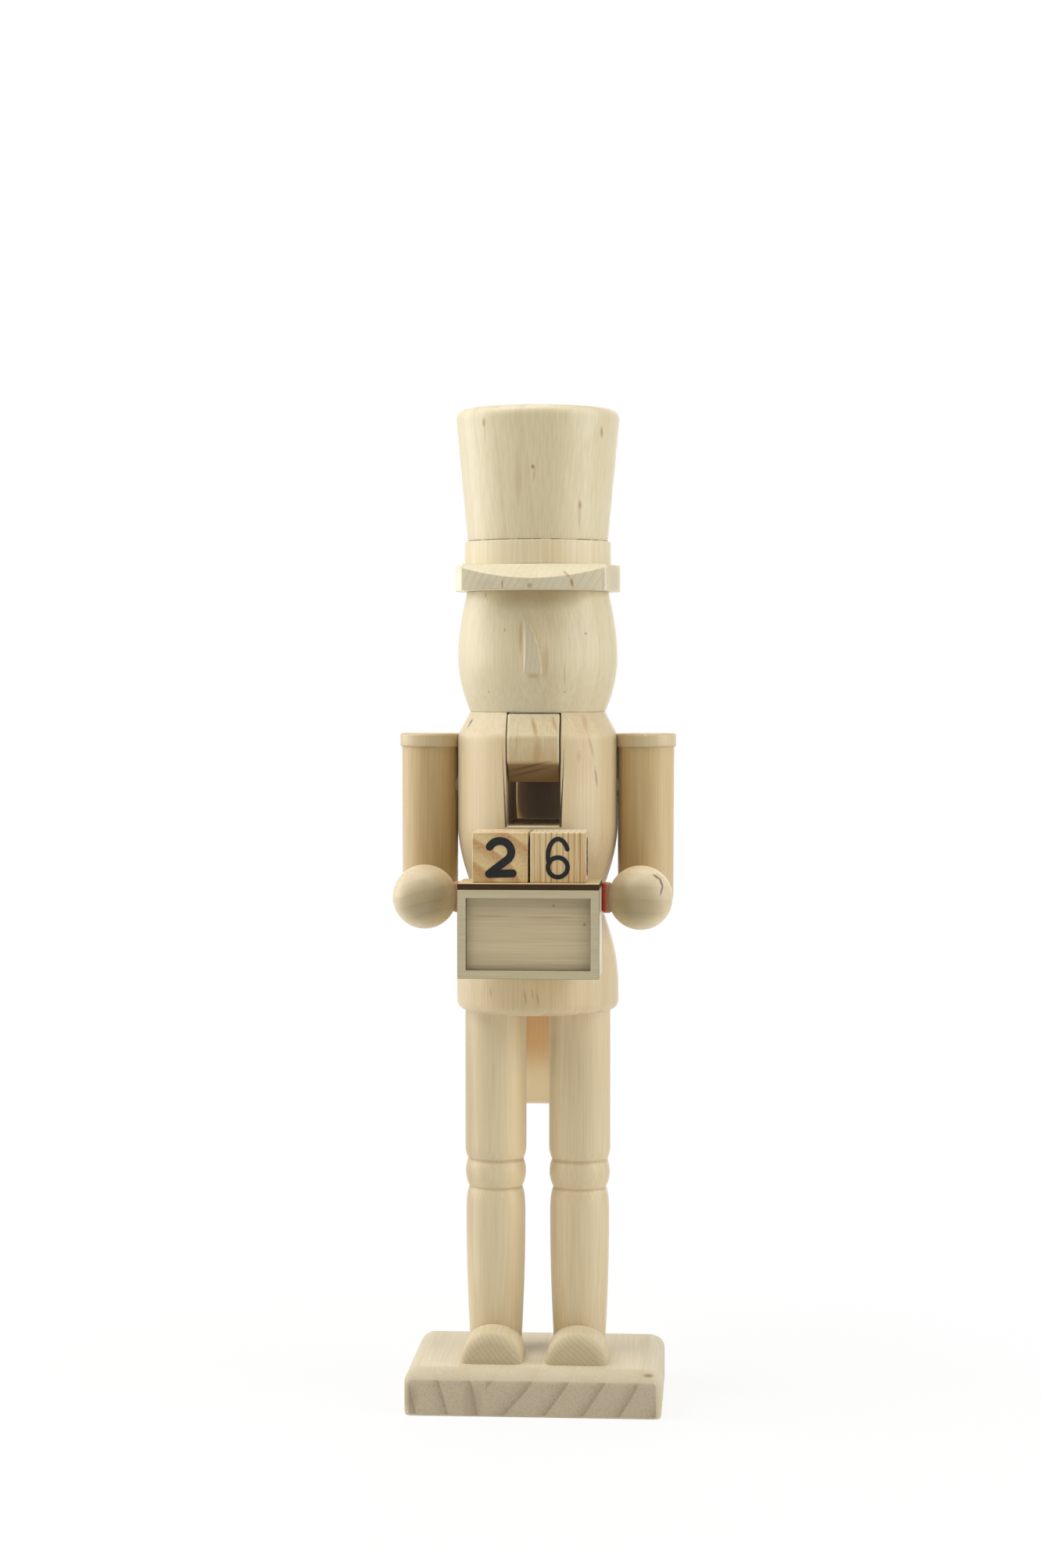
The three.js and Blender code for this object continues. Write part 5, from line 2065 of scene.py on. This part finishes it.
@dataclass
class Studio:
    """Pale floor, soft light and the photograph's camera."""

    photo_width: int = 1333
    photo_height: int = 2005
    focal_px: float = 3810.8
    distance: float = 1144.5
    eye_height: float = 280.7
    azimuth: float = math.radians(3.54)
    pitch: float = math.radians(2.185)
    yaw: float = math.radians(0.325)
    sensor: float = 36.0
    clip: tuple[float, float] = (10.0, 50000.0)
    floor_reach: float = 6000.0
    floor_colour: str = "#f2f1ee"
    floor_roughness: float = 0.9
    floor_white: float = 0.85
    near_shadow: float = 90.0
    far_shadow: float = 330.0
    sky: float = 0.02
    aim: tuple[float, float, float] = (0.0, 0.0, 190.0)
    lamps: tuple[SoftBox, ...] = (
        SoftBox("left_softbox", (-1198.4, 147.2, 513.5), 1100.0, 900.0, 8.0),
        SoftBox("right_softbox", (1166.3, -312.5, 513.5), 900.0, 900.0, 7.5),
        SoftBox("upper_left_softbox", (-695.8, -401.7, 1147.6), 900.0, 900.0, 7.6),
        SoftBox("upper_right_softbox", (695.8, -401.7, 1147.6), 900.0, 900.0, 2.6),
        SoftBox("top_softbox", (0.0, -108.9, 1435.2), 900.0, 900.0, 7.8),
        SoftBox("back_softbox", (0.0, 1231.0, 407.1), 900.0, 900.0, 5.1),
    )

    def build(self) -> None:
        """Sets up the floor, the light and the camera."""
        bpy.context.scene.view_settings.view_transform = "Standard"
        self.lay_floor()
        self.light_world()
        for lamp in self.lamps:
            self.hang(lamp)
        self.place_camera()

    def place_camera(self) -> None:
        """Puts the camera where the photograph was taken from."""
        lens = bpy.data.cameras.new("photo_camera")
        lens.sensor_width = self.sensor
        lens.lens = self.focal_px / max(self.photo_width, self.photo_height) * self.sensor
        lens.clip_start, lens.clip_end = (reach * MM for reach in self.clip)
        camera = bpy.data.objects.new("photo_camera", lens)
        bpy.context.scene.collection.objects.link(camera)
        side, ahead = math.sin(self.azimuth), math.cos(self.azimuth)
        camera.location = Vector((side * self.distance, -ahead * self.distance, self.eye_height)) * MM
        heading = self.azimuth + self.yaw
        camera.rotation_euler = (math.pi / 2 - self.pitch, 0.0, heading)
        bpy.context.scene.camera = camera

    def hang(self, lamp: SoftBox) -> None:
        """Hangs one lamp, facing the figure.

        Args:
            lamp: The lamp.
        """
        light = bpy.data.lights.new(lamp.name, "AREA")
        light.shape = "RECTANGLE"
        light.size, light.size_y = lamp.width * MM, lamp.height * MM
        light.energy = lamp.watts
        holder = bpy.data.objects.new(lamp.name, light)
        bpy.context.scene.collection.objects.link(holder)
        place, aim = Vector(lamp.place) * MM, Vector(self.aim) * MM
        holder.location = place
        holder.visible_camera = False
        holder.rotation_euler = (aim - place).to_track_quat("-Z", "Y").to_euler()

    def seen_directly(self, tree: bpy.types.NodeTree) -> bpy.types.NodeSocket:
        """Tells the rays that show the background from those that light the object.

        Args:
            tree: The node tree.

        Returns:
            A socket that is 1 for camera, glossy and transmission rays.
        """
        path = add(tree, "ShaderNodeLightPath").outputs
        seen = path["Is Camera Ray"]
        for ray in ("Is Glossy Ray", "Is Transmission Ray"):
            seen = add(tree, "ShaderNodeMath", {0: seen, 1: path[ray]}, operation="MAXIMUM").outputs[0]
        return seen

    def light_world(self) -> None:
        """Lights the object from a plain pale sky and shows the background white."""
        world = bpy.data.worlds.new("studio")
        world.use_nodes = True
        tree = world.node_tree
        tree.nodes.clear()
        dim, bright = (
            add(tree, "ShaderNodeBackground", {"Color": WHITE, "Strength": strength})
            for strength in (self.sky, 1.0)
        )
        mix = add(tree, "ShaderNodeMixShader", {0: self.seen_directly(tree), 1: dim, 2: bright})
        add(tree, "ShaderNodeOutputWorld", {"Surface": mix})
        bpy.context.scene.world = world

    def lay_floor(self) -> None:
        """Lays a pale floor that keeps the object's shadow and fades to white round it."""
        deselect_all()
        bpy.ops.mesh.primitive_plane_add(size=self.floor_reach * MM)
        floor = just_added("floor")
        material, tree, shader = new_material("pale studio floor")
        shader.inputs["Base Color"].default_value = linear(self.floor_colour)
        shader.inputs["Roughness"].default_value = self.floor_roughness
        place = add(tree, "ShaderNodeTexCoord").outputs["Object"]
        reach = add(tree, "ShaderNodeVectorMath", {0: place}, operation="LENGTH").outputs["Value"]
        fade = add(
            tree,
            "ShaderNodeMapRange",
            {
                "Value": reach,
                "From Min": self.near_shadow * MM,
                "From Max": self.far_shadow * MM,
                "To Min": self.floor_white,
            },
            interpolation_type="SMOOTHSTEP",
        )
        share = add(tree, "ShaderNodeMath", {0: fade, 1: self.seen_directly(tree)}, operation="MULTIPLY")
        white = add(tree, "ShaderNodeEmission", {"Color": WHITE, "Strength": 1.0})
        mix = add(tree, "ShaderNodeMixShader", {0: share, 1: shader, 2: white})
        tree.links.new(mix.outputs[0], tree.nodes["Material Output"].inputs["Surface"])
        floor.data.materials.append(material)


def clear_start_scene() -> None:
    """Removes what Blender starts with, and keeps the frame."""
    kept = {*frame["nodes"].values(), *frame["bodies"].values()}
    for item in list(bpy.data.objects):
        if item not in kept:
            bpy.data.objects.remove(item)


def main() -> None:
    """Builds the figure's pieces in order, then the studio."""
    logging.basicConfig(level=logging.INFO, format="%(name)s: %(message)s")
    clear_start_scene()
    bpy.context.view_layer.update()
    torso = Torso()
    parts = [
        Stand(),
        torso,
        JawLever(),
        HeadAndHat(),
        Arms(torso),
        SignBox(),
        NumberBlock(
            "tens_block",
            "tens",
            "orange_block",
            TENS_PINE,
            {Face.FRONT: 2, Face.RIGHT: 0, Face.BACK: 1, Face.LEFT: 3},
            stroke=2.95,
        ),
        NumberBlock(
            "units_block",
            "units",
            "striped_block",
            UNITS_PINE,
            {Face.FRONT: 6, Face.RIGHT: 8, Face.BACK: 9, Face.LEFT: 0},
            stroke=1.7,
        ),
    ]
    for part in parts:
        part.build()
    dress_dowels()
    Studio().build()


if __name__ == "__main__":
    main()
